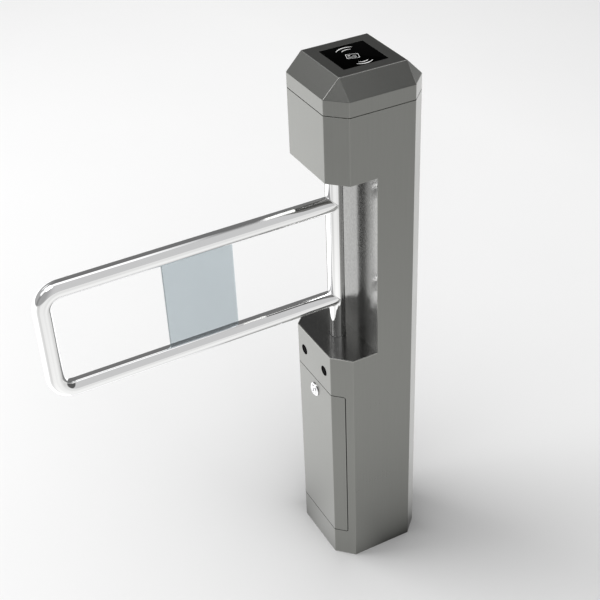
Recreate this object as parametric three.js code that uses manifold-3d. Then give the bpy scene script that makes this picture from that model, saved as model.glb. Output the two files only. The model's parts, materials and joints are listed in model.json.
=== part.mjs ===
// Swing-arm barrier gate: an octagonal sheet-steel post with a cut-out bay,
// a vertical pivot tube carrying a bent-tube swing arm, a geared drive, a drop-down
// service door, a lift-off cap with a card reader, and the wiring inside.
// Millimetres, +Z up. Origin: centre of the post's footprint, on the floor.
// The post's front faces -X and the closed arm points that way; people walk along Y.
// Parts named left lie at +Y, right at -Y.
import * as THREE from "three";
import { ConvexGeometry } from "three/addons/geometries/ConvexGeometry.js";
import { mergeVertices } from "three/addons/utils/BufferGeometryUtils.js";
import Module from "manifold-3d";

const wasm = await Module();
wasm.setup();

// ---- driving dimensions -------------------------------------------------
// Post
const POST_HALF = 90; // half the width across flats
const CHAMFER = 30; // leg of each corner chamfer
const FLAT_HALF = POST_HALF - CHAMFER; // half the length of each flat
const FRONT_X = -POST_HALF;
const SHEET = 1.5; // sheet thickness
const FOLD_R = 3; // outside radius of the folds in the sheet
const SHEET_GAP = 0.3; // between the shell and what is fixed inside it
const LOOSE_GAP = 0.4; // between the shell and what drops into it
const MOUNT_X = FRONT_X + SHEET + SHEET_GAP; // back of the front face, less the gap
const SHELL_TOP_Z = 957.8;
const BAY_Z = [486, 839]; // floor and roof of the bay
const BAY_BACK_X = -10;

// Cap
const CAP_Z = 959.3; // lower edge
const EAVE_Z = 985; // where the slope starts
const TOP_Z = 1015; // overall height
const TOP_HALF = 61; // flat top, half width
const WINDOW_HALF = 40; // reader window, half width

// Gate
const PIVOT_X = -40;
const PIVOT = [PIVOT_X, 0];
const TUBE_R = 15; // pivot tube and arm tube, outside
const TUBE_BORE_R = TUBE_R - 1.5;
const ARM_HIGH_Z = 758; // centre of the upper arm tube
const ARM_LOW_Z = 566; // centre of the lower arm tube
const ARM_END_X = -557.5; // centre of the arm's outer upright
const ARM_BEND_R = 32; // centre-line radius
const PANEL_X = [-358, -233];
const PANEL_HALF_T = 2.5;

// Door and its opening, both wrapping from the front face onto the front chamfers
const DOOR_Z = [62, 400.2];
const OPENING_Z = [60.2, 401.8];
const DOOR_SHARE = 0.625; // share of the chamfer covered
const OPENING_SHARE = 0.655;
const DOOR_CORNER_R = 3.5; // on the chamfers
const OPENING_CORNER_R = DOOR_CORNER_R + 1.4;
const HINGE_X = -86;
const HINGE_Z = 66;

// Locks and passage sensors
const DOOR_LOCK_Z = 374;
const CAP_LOCK_Z = 930; // on the rear face
const LOCK_HOLE_R = 9.8;
const IR_Y = 36.5;
const IR_Z = 442;
const IR_HOLE_R = 10;

// Drive
const MOTOR_X = 20;
const MOTOR = [MOTOR_X, 0];
const GEAR_MODULE = 2;
const WHEEL_TEETH = 40;
const PINION_TEETH = 20;
const GEAR_BACKLASH = 0.16;
const GEAR_Z = [456, 466];
const TOP_PLATE_Z = [472.2, 484.2];
const BASE_PLATE_Z = [428, 438];
const HEAD_PLATE_Z = [840.8, 852.8];
const BEARING_R = 21; // upper and lower bearings, outside
const FOOT_BEARING_R = 17.5;
const BEARING_GAP = 0.15; // clearance of a bearing in its plate
const SHAFT_HOLE_R = 10.2; // bore of the parts clamped on the shafts
const STOP_X = -51.4; // stop posts
const STOP_Y = 30;

const CABLE_ENTRY = [-45, 0]; // in the floor of the post
const CENTRE = [0, 0];
const SIDES = [["left", 1], ["right", -1]]; // name, sign of y

// ---- materials ----------------------------------------------------------
const metal = (look) => new THREE.MeshStandardMaterial({ metalness: 1, ...look });
const nonmetal = (look) => new THREE.MeshStandardMaterial({ metalness: 0, ...look });
const materials = {
  steel: metal({ color: 0x9a9a95, roughness: 0.35 }),
  polished: metal({ color: 0xe4e5e6, roughness: 0.06 }),
  plate: metal({ color: 0x8c9094, roughness: 0.5 }),
  zinc: metal({ color: 0xb6b8b4, roughness: 0.4 }),
  chrome: metal({ color: 0xdcdde0, roughness: 0.08 }),
  panel: nonmetal({ color: 0xbcc5c9, roughness: 0.08, transparent: true, opacity: 0.5 }),
  blackGlass: nonmetal({ color: 0x050505, roughness: 0.08 }),
  black: nonmetal({ color: 0x141414, roughness: 0.45 }),
  rubber: nonmetal({ color: 0x1b1b1b, roughness: 0.8 }),
  board: nonmetal({ color: 0x1d5a35, roughness: 0.5 }),
  green: nonmetal({ color: 0x3f8f4a, roughness: 0.5 }),
};

// ---- conversion between three.js geometry and manifold solids -------------
const solid = (geometry) => {
  const loose = geometry.index ? geometry.toNonIndexed() : geometry;
  const bare = new THREE.BufferGeometry().setAttribute("position", loose.attributes.position);
  const welded = mergeVertices(bare, 1e-3);
  return new wasm.Manifold(new wasm.Mesh({
    numProp: 3,
    vertProperties: new Float32Array(welded.attributes.position.array),
    triVerts: new Uint32Array(welded.index.array),
  }));
};
const toGeometry = (body) => {
  const mesh = body.getMesh();
  const indexed = new THREE.BufferGeometry();
  indexed.setAttribute("position", new THREE.BufferAttribute(mesh.vertProperties, 3));
  indexed.setIndex(new THREE.BufferAttribute(mesh.triVerts, 1));
  const flat = indexed.toNonIndexed();
  flat.computeVertexNormals();
  return flat;
};
const moved = (body, move) => solid(move(toGeometry(body)));
const add = (...bodies) => bodies.reduce((sum, body) => sum.add(body));

// ---- outlines -------------------------------------------------------------
const span = (half, centre = 0) => [centre - half, centre + half];
const polar = (radius, angle, [x, y] = CENTRE) =>
  [x + radius * Math.cos(angle), y + radius * Math.sin(angle)];
const regular = (radius, n, centre) =>
  Array.from({ length: n }, (_, i) => polar(radius, (i * 2 * Math.PI) / n, centre));
const mirrorY = (points) => points.map(([x, y]) => [x, -y]);
const vectors = (points) => points.map(([x, y]) => new THREE.Vector2(x, y));
const shapeOf = (points) => new THREE.Shape(vectors(points));

// the post's octagon moved inward: a chamfer moves by the same distance as the flats
const inset = (distance) => {
  const half = POST_HALF - distance;
  const flat = 2 * POST_HALF - CHAMFER - distance * Math.SQRT2 - half;
  return [
    [-half, -flat], [-flat, -half], [flat, -half], [half, -flat],
    [half, flat], [flat, half], [-flat, half], [-half, flat],
  ];
};
// outline with its corners rounded in four chords; radii is one radius or one per corner
const filleted = (points, radii) => points.flatMap(([x, y], i) => {
  const radius = typeof radii === "number" ? radii : radii[i];
  if (!radius) return [[x, y]];
  const corner = new THREE.Vector2(x, y);
  const back = new THREE.Vector2(...points.at(i - 1)).sub(corner).normalize();
  const ahead = new THREE.Vector2(...points[(i + 1) % points.length]).sub(corner).normalize();
  const half = Math.acos(back.dot(ahead)) / 2;
  const turn = (Math.PI - 2 * half) * Math.sign(back.cross(ahead));
  const centre = back.clone().add(ahead).normalize().multiplyScalar(radius / Math.sin(half));
  const start = back.clone().multiplyScalar(radius / Math.tan(half)).sub(centre);
  return Array.from({ length: 5 }, (_, k) => {
    const point = start.clone().rotateAround(new THREE.Vector2(), (-turn * k) / 4);
    return point.add(centre).add(corner).toArray();
  });
});
// the post's section at a depth under its skin, folds included
const section = (depth) => filleted(inset(depth), FOLD_R - depth);

// ---- solids: ranges are [low, high] pairs, n is the number of sides ---------
const middle = ([low, high]) => (low + high) / 2;
const box = (x, y, z) =>
  solid(new THREE.BoxGeometry(x[1] - x[0], y[1] - y[0], z[1] - z[0])
    .translate(middle(x), middle(y), middle(z)));
const extrude = (points, depth) =>
  new THREE.ExtrudeGeometry(shapeOf(points), { depth, bevelEnabled: false });
// over an (x, y) outline
const prism = (points, [z0, z1]) => solid(extrude(points, z1 - z0).translate(0, 0, z0));
// over an (x, z) outline
const prismY = (points, [y0, y1]) =>
  solid(extrude(points, y1 - y0).rotateX(Math.PI / 2).translate(0, y1, 0));
const cyl = (radius, z, [x, y], n, topRadius = radius) =>
  solid(new THREE.CylinderGeometry(topRadius, radius, z[1] - z[0], n)
    .rotateX(Math.PI / 2).translate(x, y, middle(z)));
const cylX = (radius, x, y, z, n) =>
  solid(new THREE.CylinderGeometry(radius, radius, x[1] - x[0], n)
    .rotateZ(Math.PI / 2).translate(middle(x), y, z));
const cylY = (radius, y, x, z, n) =>
  solid(new THREE.CylinderGeometry(radius, radius, y[1] - y[0], n).translate(x, middle(y), z));
// vertical cutter longer than the whole product
const bore = (radius, at, n) => cyl(radius, [-10, TOP_Z + 10], at, n);
const ring = (outer, inner, z, at, n) => cyl(outer, z, at, n).subtract(bore(inner, at, n));
// turned about a vertical axis; the profile is [radius, z]
const turned = (profile, [x, y], n) =>
  solid(new THREE.LatheGeometry(vectors(profile), n).rotateX(Math.PI / 2).translate(x, y, 0));
// cutter through the front face
const frontHole = (radius, y, z, n) => cylX(radius, [FRONT_X - 2, FRONT_X + 4], y, z, n);

// a curve that is sampled exactly at its stations, so straights stay one span long
class Stations extends THREE.Curve {
  constructor(list) {
    super();
    this.list = list;
  }
  at(t) { return this.list[Math.round(t * (this.list.length - 1))]; }
  getPointAt(t) { return this.at(t).point.clone(); }
  getTangentAt(t) { return this.at(t).tangent.clone(); }
}
const sweep = (stations, radius, n, boreRadius = 0) => {
  const shape = shapeOf(regular(radius, n));
  if (boreRadius) shape.holes.push(new THREE.Path(vectors(regular(boreRadius, n).reverse())));
  return solid(new THREE.ExtrudeGeometry(shape, {
    steps: stations.length - 1,
    bevelEnabled: false,
    extrudePath: new Stations(stations),
  }));
};
// stations along a polyline with its corners rounded, each in a number of steps
const rounded = (points, radius, steps) => {
  const path = points.map((point) => new THREE.Vector3(...point));
  const direction = (from, to) => to.clone().sub(from).normalize();
  const stations = [{ point: path[0], tangent: direction(path[0], path[1]) }];
  for (let i = 1; i < path.length - 1; i++) {
    const before = direction(path[i - 1], path[i]);
    const after = direction(path[i], path[i + 1]);
    const turn = before.angleTo(after);
    const start = path[i].clone().addScaledVector(before, -radius * Math.tan(turn / 2));
    const normal = after.clone().addScaledVector(before, -before.dot(after)).normalize();
    const centre = start.clone().addScaledVector(normal, radius);
    for (let k = 0; k <= steps; k++) {
      const cos = Math.cos((turn * k) / steps);
      const sin = Math.sin((turn * k) / steps);
      stations.push({
        point: centre.clone().addScaledVector(normal, -radius * cos)
          .addScaledVector(before, radius * sin),
        tangent: before.clone().multiplyScalar(cos).addScaledVector(normal, sin),
      });
    }
  }
  stations.push({ point: path.at(-1), tangent: direction(path.at(-2), path.at(-1)) });
  return stations;
};

// ---- groups ---------------------------------------------------------------
const root = new THREE.Group();
root.name = "swing_barrier";
const [post, gate, rotor, door, doorLock, cap, capLock] =
  ["post", "gate", "rotor", "door", "door_lock", "cap", "cap_lock"].map((name) => {
    const group = new THREE.Group();
    group.name = name;
    root.add(group);
    return group;
  });
const part = (group, name, body, material) => {
  const mesh = new THREE.Mesh(toGeometry(body), material);
  mesh.name = name;
  group.add(mesh);
};

// ---- rounded corners on the front chamfers ----------------------------------
// cutter outside one corner of a panel; side is the sign of y,
// up is +1 where the panel lies above the corner and -1 where it lies below
const cornerWedge = (radius, side, share, z, up) => {
  const arc = Array.from({ length: 7 }, (_, i) =>
    polar(radius, -Math.PI / 2 - (i * Math.PI) / 12, [radius, radius]));
  const wedge = extrude([[-2, -2], [radius, -2], ...arc, [-2, radius]], 24).translate(0, 0, -3);
  const across = new THREE.Vector3(-1, -side, 0).normalize();
  const upright = new THREE.Vector3(0, 0, up);
  const inward = new THREE.Vector3(1, -side, 0).normalize();
  const frame = new THREE.Matrix4();
  // the order of the axes keeps the frame right-handed
  if (-side * up > 0) frame.makeBasis(across, upright, inward);
  else frame.makeBasis(upright, across, inward);
  const reach = CHAMFER * share;
  frame.setPosition(FRONT_X + reach, side * (FLAT_HALF + reach), z);
  return solid(wedge.applyMatrix4(frame));
};
const roundCorners = (body, radius, share, [z0, z1]) =>
  [1, -1].reduce((rest, side) => rest
    .subtract(cornerWedge(radius, side, share, z0, 1))
    .subtract(cornerWedge(radius, side, share, z1, -1)), body);

// ---- post sheet metal -------------------------------------------------------
const doorOpening = () => {
  const reach = CHAMFER * OPENING_SHARE;
  const x = FRONT_X + reach;
  const y = FLAT_HALF + reach;
  const outside = 20; // how far the cutter runs out of the post
  const inside = 8; // and into it
  const outline = [
    [x - outside, -y - outside], [x + inside, -y + inside],
    [x + inside, y - inside], [x - outside, y + outside],
  ];
  const cutter = prism(outline, OPENING_Z);
  return roundCorners(cutter, OPENING_CORNER_R, OPENING_SHARE, OPENING_Z);
};
const housingShell = () => {
  let shell = prism(section(0), [0, SHELL_TOP_Z])
    .subtract(prism(section(SHEET), [-1, SHELL_TOP_Z + 1]))
    .subtract(box([FRONT_X - 5, BAY_BACK_X], span(POST_HALF + 5), BAY_Z))
    .subtract(doorOpening());
  for (const [, side] of SIDES) shell = shell.subtract(frontHole(IR_HOLE_R, side * IR_Y, IR_Z, 20));
  return shell.subtract(cylX(LOCK_HOLE_R, [POST_HALF - 4, POST_HALF + 2], 0, CAP_LOCK_Z, 24));
};
// ledge, back wall and roof in one folded strip, with holes for the pivot tube
const bayLiner = () => {
  const [floor, roof] = BAY_Z;
  const strip = prismY([
    [FRONT_X, floor - SHEET], [BAY_BACK_X + SHEET, floor - SHEET],
    [BAY_BACK_X + SHEET, roof + SHEET], [FRONT_X, roof + SHEET],
    [FRONT_X, roof], [BAY_BACK_X, roof], [BAY_BACK_X, floor], [FRONT_X, floor],
  ], span(POST_HALF));
  return strip.intersect(prism(inset(SHEET + SHEET_GAP), [0, TOP_Z]))
    .subtract(bore(TUBE_R + 0.5, PIVOT, 32));
};
// four anchor holes and the cable entry
const basePlate = () => {
  const anchor = 58; // hole centres, from the post's axis along x and y
  let plate = prism(inset(SHEET + LOOSE_GAP), [0, 8]);
  for (const x of [anchor, -anchor]) {
    for (const y of [anchor, -anchor]) plate = plate.subtract(bore(7, [x, y], 20));
  }
  return plate.subtract(bore(10.4, CABLE_ENTRY, 20));
};
part(post, "housing_shell", housingShell(), materials.steel);
part(post, "bay_liner", bayLiner(), materials.steel);
part(post, "base_plate", basePlate(), materials.plate);

// ---- drive frame ------------------------------------------------------------
const driveTopPlate = () =>
  box([-78, 44], span(62), TOP_PLATE_Z).subtract(bore(BEARING_R + BEARING_GAP, PIVOT, 20));
// carries the foot bearing and both stop posts
const driveBasePlate = () => {
  const plate = box([-58, 44], span(60), BASE_PLATE_Z)
    .subtract(bore(FOOT_BEARING_R + BEARING_GAP, PIVOT, 20))
    .subtract(bore(9, MOTOR, 20));
  const stops = SIDES.map(([, side]) => cyl(3.5, [437, 452.6], [STOP_X, side * STOP_Y], 12));
  return add(plate, ...stops);
};
part(post, "drive_top_plate", driveTopPlate(), materials.plate);
part(post, "drive_base_plate", driveBasePlate(), materials.plate);

// place, x, y
const PILLARS = [
  ["front_left", -52, 53], ["front_right", -52, -53],
  ["rear_left", 36, 50], ["rear_right", 36, -50],
];
for (const [place, x, y] of PILLARS) {
  part(post, "drive_pillar_" + place, cyl(5, [438.1, 472.1], [x, y], 16), materials.zinc);
}
for (const [name, side] of SIDES) {
  const sleeve = ring(6, 3.9, [441, 452.4], [STOP_X, side * STOP_Y], 12);
  part(post, "stop_buffer_" + name, sleeve, materials.rubber);
}

// sealed ball bearing on the pivot axis: one ring with its shields stepped in at both ends
const bearing = (outer, inner, [z0, z1]) => {
  const step = 0.9;
  const shieldIn = inner + 2.8;
  const shieldOut = outer - 3;
  return turned([
    [inner, z0], [shieldIn, z0], [shieldIn, z0 + step], [shieldOut, z0 + step],
    [shieldOut, z0], [outer, z0], [outer, z1], [shieldOut, z1],
    [shieldOut, z1 - step], [shieldIn, z1 - step], [shieldIn, z1], [inner, z1], [inner, z0],
  ], PIVOT, 20);
};
part(post, "lower_bearing", bearing(BEARING_R, 10.3, TOP_PLATE_Z), materials.zinc);
part(post, "foot_bearing", bearing(FOOT_BEARING_R, 8.8, BASE_PLATE_Z), materials.zinc);
part(post, "upper_bearing", bearing(BEARING_R, 10.3, HEAD_PLATE_Z), materials.zinc);

const upperBearingPlate = () => {
  const outline = [[-84, -62], [-62, -84], [20, -84], [20, 84], [-62, 84], [-84, 62]];
  return prism(outline, HEAD_PLATE_Z).subtract(bore(BEARING_R + BEARING_GAP, PIVOT, 20));
};
part(post, "upper_bearing_plate", upperBearingPlate(), materials.plate);

// gearmotor hung under the drive base plate; profiles are [radius, z]
const GEARBOX_PROFILE = [
  [5.3, 427.8], [5.3, 378], [21, 378], [21, 419], [19, 421], [19, 427.8], [5.3, 427.8],
];
// motor can with its encoder on the lower end
const MOTOR_PROFILE = [
  [0, 299], [14, 299], [15.5, 301], [15.5, 314], [19.5, 314],
  [20.5, 316], [20.5, 374], [18, 377.7], [0, 377.7],
];
part(post, "gearbox", turned(GEARBOX_PROFILE, MOTOR, 20), materials.zinc);
part(post, "drive_motor", turned(MOTOR_PROFILE, MOTOR, 20), materials.black);

// electromagnetic brake coil round the gate shaft
part(post, "brake_coil", ring(27, 9.6, [405, 427.7], PIVOT, 20), materials.black);

// slotted optical sensor: two prongs straddling the position disc, on one stem
const positionSensor = () => {
  const x = span(6, PIVOT_X);
  return add(
    box(x, [-36, -18], [387, 390.5]),
    box(x, [-36, -30], [387, 427.8]),
    box(x, [-30.2, -18], [395, 398]),
  );
};
part(post, "position_sensor", positionSensor(), materials.black);

// ---- gate: tube, arm, panel and everything on its shafts ----------------------
part(gate, "pivot_tube", ring(TUBE_R, TUBE_BORE_R, [485, 841.4], PIVOT, 24), materials.polished);

const armLoop = () => {
  const path = [
    [PIVOT_X, 0, ARM_HIGH_Z], [ARM_END_X, 0, ARM_HIGH_Z],
    [ARM_END_X, 0, ARM_LOW_Z], [PIVOT_X, 0, ARM_LOW_Z],
  ];
  const slotGap = 0.3; // round the panel
  return sweep(rounded(path, ARM_BEND_R, 6), TUBE_R, 20, TUBE_BORE_R)
    // cope the ends round the pivot tube, then clear what is left beyond it
    .subtract(bore(TUBE_R + 0.3, PIVOT, 32))
    .subtract(box([PIVOT_X - 14, PIVOT_X + 40], span(20), [500, 820]))
    .subtract(box(
      [PANEL_X[0] - slotGap, PANEL_X[1] + slotGap],
      span(PANEL_HALF_T + slotGap),
      [ARM_LOW_Z, ARM_HIGH_Z],
    ));
};
const gatePanel = () => {
  const inTube = 9; // panel edges stop this far short of the arm's centre lines
  return box(PANEL_X, span(PANEL_HALF_T), [ARM_LOW_Z + inTube, ARM_HIGH_Z - inTube]);
};
part(gate, "arm_loop", armLoop(), materials.polished);
part(gate, "gate_panel", gatePanel(), materials.panel);

// stub shafts plugged into the ends of the pivot tube; profiles are [radius, z]
const PLUG_R = TUBE_BORE_R - 0.2;
const UPPER_SHAFT = [
  [0, 792], [PLUG_R, 792], [PLUG_R, 840.2], [10, 840.2], [10, 870], [9, 871], [0, 871],
];
const LOWER_SHAFT = [
  [0, 384.5], [7.5, 384.5], [8.5, 385.5], [8.5, 438.6], [10, 438.6],
  [10, 485.2], [PLUG_R, 485.2], [PLUG_R, 532], [0, 532],
];
part(gate, "upper_shaft", turned(UPPER_SHAFT, PIVOT, 20), materials.zinc);
part(gate, "upper_collar", ring(16, SHAFT_HOLE_R, [853.4, 863], PIVOT, 24), materials.zinc);
part(gate, "lower_shaft", turned(LOWER_SHAFT, PIVOT, 20), materials.zinc);

const LOWER_HOLE_R = 8.7; // bore of the parts on the thin end of the lower shaft
const stopArm = () => {
  const z = [442.5, 452];
  return add(cyl(16, z, PIVOT, 24), box([PIVOT_X, PIVOT_X + 39], span(5), z))
    .subtract(bore(SHAFT_HOLE_R, PIVOT, 24));
};
const brakeArmature = () =>
  add(cyl(26, [400.5, 404], PIVOT, 20), cyl(13, [396, 401], PIVOT, 20))
    .subtract(bore(LOWER_HOLE_R, PIVOT, 20));
// disc on a hub, with three square windows a quarter turn apart
const positionDisc = () => {
  let disc = add(cyl(24, [392, 393.5], PIVOT, 32), cyl(12, [389, 392.5], PIVOT, 20))
    .subtract(bore(LOWER_HOLE_R, PIVOT, 20));
  for (const angle of [-Math.PI / 2, 0, Math.PI / 2]) {
    const [x, y] = polar(21.5, angle, PIVOT);
    disc = disc.subtract(box(span(1.5, x), span(1.5, y), [391.8, 394]));
  }
  return disc;
};
part(gate, "stop_arm", stopArm(), materials.zinc);
part(gate, "brake_armature", brakeArmature(), materials.zinc);
part(gate, "position_disc", positionDisc(), materials.zinc);

// ---- gears ----------------------------------------------------------------
// involute spur gear; the phase is the angle of the first tooth
const gearOutline = ({ teeth, phase, centre, flankPoints }) => {
  const pressure = Math.PI / 9; // 20 degrees
  const pitchR = (GEAR_MODULE * teeth) / 2;
  const baseR = pitchR * Math.cos(pressure);
  const tipR = pitchR + GEAR_MODULE * 0.95;
  const rootR = pitchR - GEAR_MODULE * 1.25;
  const involute = (angle) => Math.tan(angle) - angle;
  const halfTooth = Math.PI / (2 * teeth) - GEAR_BACKLASH / (2 * pitchR);
  const halfAngle = (r) =>
    halfTooth + involute(pressure) - (r > baseR ? involute(Math.acos(baseR / r)) : 0);
  const startR = Math.max(baseR, rootR);
  const flank = Array.from({ length: flankPoints }, (_, i) =>
    startR + ((tipR - startR) * i) / (flankPoints - 1));
  // a radial foot down to the root, where that lies under the base circle
  if (rootR < baseR - 0.05) flank.unshift(rootR);
  const outline = [];
  for (let i = 0; i < teeth; i++) {
    const angle = phase + (i * 2 * Math.PI) / teeth;
    for (const r of flank) outline.push(polar(r, angle - halfAngle(r), centre));
    for (const r of [...flank].reverse()) outline.push(polar(r, angle + halfAngle(r), centre));
  }
  return outline;
};
const driveGear = () => {
  const outline = gearOutline({ teeth: WHEEL_TEETH, phase: 0, centre: PIVOT, flankPoints: 2 });
  const hub = cyl(17, [GEAR_Z[0] - 2.5, GEAR_Z[1] + 3], PIVOT, 24);
  let wheel = add(prism(outline, GEAR_Z), hub).subtract(bore(SHAFT_HOLE_R, PIVOT, 24));
  const holes = 5;
  for (let i = 0; i < holes; i++) {
    const at = polar(26.5, (i * 2 * Math.PI) / holes + 0.3, PIVOT);
    wheel = wheel.subtract(bore(6, at, 14));
  }
  return wheel;
};
// pinion with its hub and the motor shaft; half a tooth of phase meshes it with the wheel
const motorPinion = () => {
  const outline = gearOutline({
    teeth: PINION_TEETH,
    phase: Math.PI + Math.PI / PINION_TEETH,
    centre: MOTOR,
    flankPoints: 3,
  });
  const [z0, z1] = GEAR_Z;
  return add(
    prism(outline, [z0 - 1, z1 + 1]),
    cyl(11, [z0 - 7, z0 - 0.5], MOTOR, 20),
    cyl(5, [380, z1 + 2], MOTOR, 16),
  );
};
part(gate, "drive_gear", driveGear(), materials.zinc);
part(rotor, "motor_pinion", motorPinion(), materials.zinc);

// ---- cam locks: one on the door, one on the rear of the head ------------------
// each piece is made upright, then laid along X with its face at x = 0 towards -X
const laid = (body) => moved(body, (geometry) => geometry.rotateY(-Math.PI / 2));
const LOCK_PROFILE = [ // radius, z
  [6.7, -15.5], [9.4, -15.5], [9.4, 0.1], [13.4, 0.1], [13.4, 1.6], [12.6, 2.4],
  [9.9, 2.7], [9.4, 4.2], [8.7, 4.8], [6.7, 4.8], [6.7, -15.5],
];
const lockHousing = laid(turned(LOCK_PROFILE, CENTRE, 24));
const lockNut = laid(prism(regular(13, 6), [-6.2, -1.9]).subtract(bore(9.7, CENTRE, 24)));
// barrel, square tail and round end, with the key slot in the face
const lockPlug = laid(add(
  cyl(6.4, [-16, 4.4], CENTRE, 24),
  box(span(3), span(3), [-20, -15.5]),
  cyl(5, [-21.5, -19.6], CENTRE, 16),
).subtract(box(span(4.4), span(1.2), [1, 6])));
const CAM_LONG = [-8, 34];
const CAM_WIDE = span(7);
const camPlate = (y, z) => box([16.4, 19], y, z).subtract(box([15, 21], span(3.2), span(3.2)));

const onDoor = (body) =>
  moved(body, (geometry) => geometry.translate(FRONT_X, 0, DOOR_LOCK_Z));
const onRear = (body) =>
  moved(body, (geometry) => geometry.rotateZ(Math.PI).translate(POST_HALF, 0, CAP_LOCK_Z));
part(door, "door_lock_housing", onDoor(lockHousing), materials.chrome);
part(door, "door_lock_nut", onDoor(lockNut), materials.zinc);
part(doorLock, "door_lock_plug", onDoor(lockPlug), materials.chrome);
part(doorLock, "door_lock_cam", onDoor(camPlate(CAM_LONG, CAM_WIDE)), materials.zinc);
part(post, "cap_lock_housing", onRear(lockHousing), materials.chrome);
part(capLock, "cap_lock_plug", onRear(lockPlug), materials.chrome);
part(capLock, "cap_lock_cam", onRear(camPlate(CAM_WIDE, CAM_LONG)), materials.zinc);

// channel behind the front face, above the door opening: the cam turns up behind its lip
const KEEPER_OUTLINE = [ // x, z
  [MOUNT_X, 402.6], [-76, 402.6], [-76, 424], [-77.5, 424],
  [-77.5, 404.1], [-86.7, 404.1], [-86.7, 424], [MOUNT_X, 424],
];
part(post, "door_keeper", prismY(KEEPER_OUTLINE, span(18)), materials.zinc);

// ---- door -----------------------------------------------------------------
// pan: front skin, two chamfer returns, and flanges folded inwards at the sides and top
const doorPanel = () => {
  const reach = CHAMFER * DOOR_SHARE;
  const x = FRONT_X + reach;
  const y = FLAT_HALF + reach;
  const flange = 11 / Math.SQRT2; // flange length along each axis
  const skin = SHEET / Math.SQRT2; // sheet thickness along each axis of a 45 degree face
  const outer = [[x + flange, y - flange], [x, y], [FRONT_X, FLAT_HALF]];
  const inner = [
    [x + flange - skin, y - flange - skin],
    [x, y - 2 * skin],
    [FRONT_X + SHEET, FLAT_HALF - SHEET * Math.tan(Math.PI / 8)],
  ];
  const outline = [
    ...outer, ...mirrorY(outer).reverse(), ...mirrorY(inner), ...inner.reverse(),
  ];
  const foldIn = FOLD_R - SHEET;
  const radii = [0, 2, FOLD_R, FOLD_R, 2, 0, 0, 0.5, foldIn, foldIn, 0.5, 0];
  const topSide = [[FRONT_X + 0.5, FLAT_HALF - 1], [FRONT_X + 12.5, FLAT_HALF + 10.5]];
  const topOutline = [...topSide, ...mirrorY(topSide).reverse()];
  const pan = prism(filleted(outline, radii), DOOR_Z)
    .add(prism(topOutline, [DOOR_Z[1] - SHEET, DOOR_Z[1]]));
  return roundCorners(pan, DOOR_CORNER_R, DOOR_SHARE, DOOR_Z)
    .subtract(frontHole(LOCK_HOLE_R, 0, DOOR_LOCK_Z, 24));
};
part(door, "door_panel", doorPanel(), materials.steel);

// concealed hinge centred at y; the pin belongs to the door leaf
const KNUCKLE_R = 2.2;
const hingeLeaf = (y) => {
  const knuckles = [[y - 12, y - 4.4], [y + 4.4, y + 12]];
  return add(
    box([MOUNT_X, -86.7], span(12, y), [HINGE_Z + 3.2, 96]),
    ...knuckles.map((range) => box([MOUNT_X, -86.4], range, [HINGE_Z, HINGE_Z + 4])),
    ...knuckles.map((range) => cylY(KNUCKLE_R, range, HINGE_X, HINGE_Z, 14)),
    cylY(1.2, span(11, y), HINGE_X, HINGE_Z, 10),
  );
};
const hingeBase = (y) => add(
  cylY(KNUCKLE_R, span(4, y), HINGE_X, HINGE_Z, 14),
  box([HINGE_X, -76], span(4, y), span(1.6, HINGE_Z)),
  box([-78, -76], span(4, y), [30, HINGE_Z + 1.6]),
  box([MOUNT_X, -76], span(10, y), [30, 32]),
  box([MOUNT_X, -86.2], span(10, y), [30, 54]),
).subtract(cylY(1.5, span(5, y), HINGE_X, HINGE_Z, 10));
for (const [name, side] of SIDES) {
  part(door, "door_hinge_leaf_" + name, hingeLeaf(side * 38), materials.zinc);
  part(post, "door_hinge_base_" + name, hingeBase(side * 38), materials.zinc);
}

// ---- cap ------------------------------------------------------------------
// straight skirt under a slope from the eave outline to a square top
const capHull = (eave, half, [bottom, eaveZ, top]) => {
  const square = [[-half, -half], [half, -half], [half, half], [-half, half]];
  const at = (points, z) => points.map(([x, y]) => new THREE.Vector3(x, y, z));
  const slope = solid(new ConvexGeometry([...at(eave, eaveZ), ...at(square, top)]));
  return add(prism(eave, [bottom, eaveZ + 0.001]), slope); // overlapped so that they join
};
const topCap = () => {
  const shift = SHEET * 0.42; // inward shift of the slope's inner edges
  const inside = [CAP_Z - 1, EAVE_Z - shift, TOP_Z - SHEET];
  return capHull(section(0), TOP_HALF, [CAP_Z, EAVE_Z, TOP_Z])
    .subtract(capHull(section(SHEET), TOP_HALF - shift, inside))
    .subtract(box(span(WINDOW_HALF + 0.4), span(WINDOW_HALF + 0.4), [1000, 1020]));
};
const capSpigot = () =>
  prism(inset(SHEET + LOOSE_GAP), [947, 973])
    .subtract(prism(inset(2 * SHEET + LOOSE_GAP), [946, 974]));
const readerWindow = () => box(span(WINDOW_HALF), span(WINDOW_HALF), [1011.8, TOP_Z + 0.2]);
const readerModule = () =>
  add(box(span(46), span(46), [1000, 1011.6]), box(span(30), span(30), [992, 1000.5]));
part(cap, "top_cap", topCap(), materials.steel);
part(cap, "cap_spigot", capSpigot(), materials.zinc);
part(cap, "reader_window", readerWindow(), materials.blackGlass);
part(cap, "reader_module", readerModule(), materials.black);

// hangs into the head; the rear cam turns sideways over its foot to hold the cap down
const TONGUE_OUTLINE = [ // x, z
  [86.2, 971], [84.7, 971], [84.7, 945.2], [74, 945.2], [74, 918],
  [66, 918], [66, 916], [75.6, 916], [75.6, 943.6], [86.2, 943.6],
];
part(cap, "cap_latch_tongue", prismY(TONGUE_OUTLINE, [12, 34]), materials.zinc);

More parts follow.
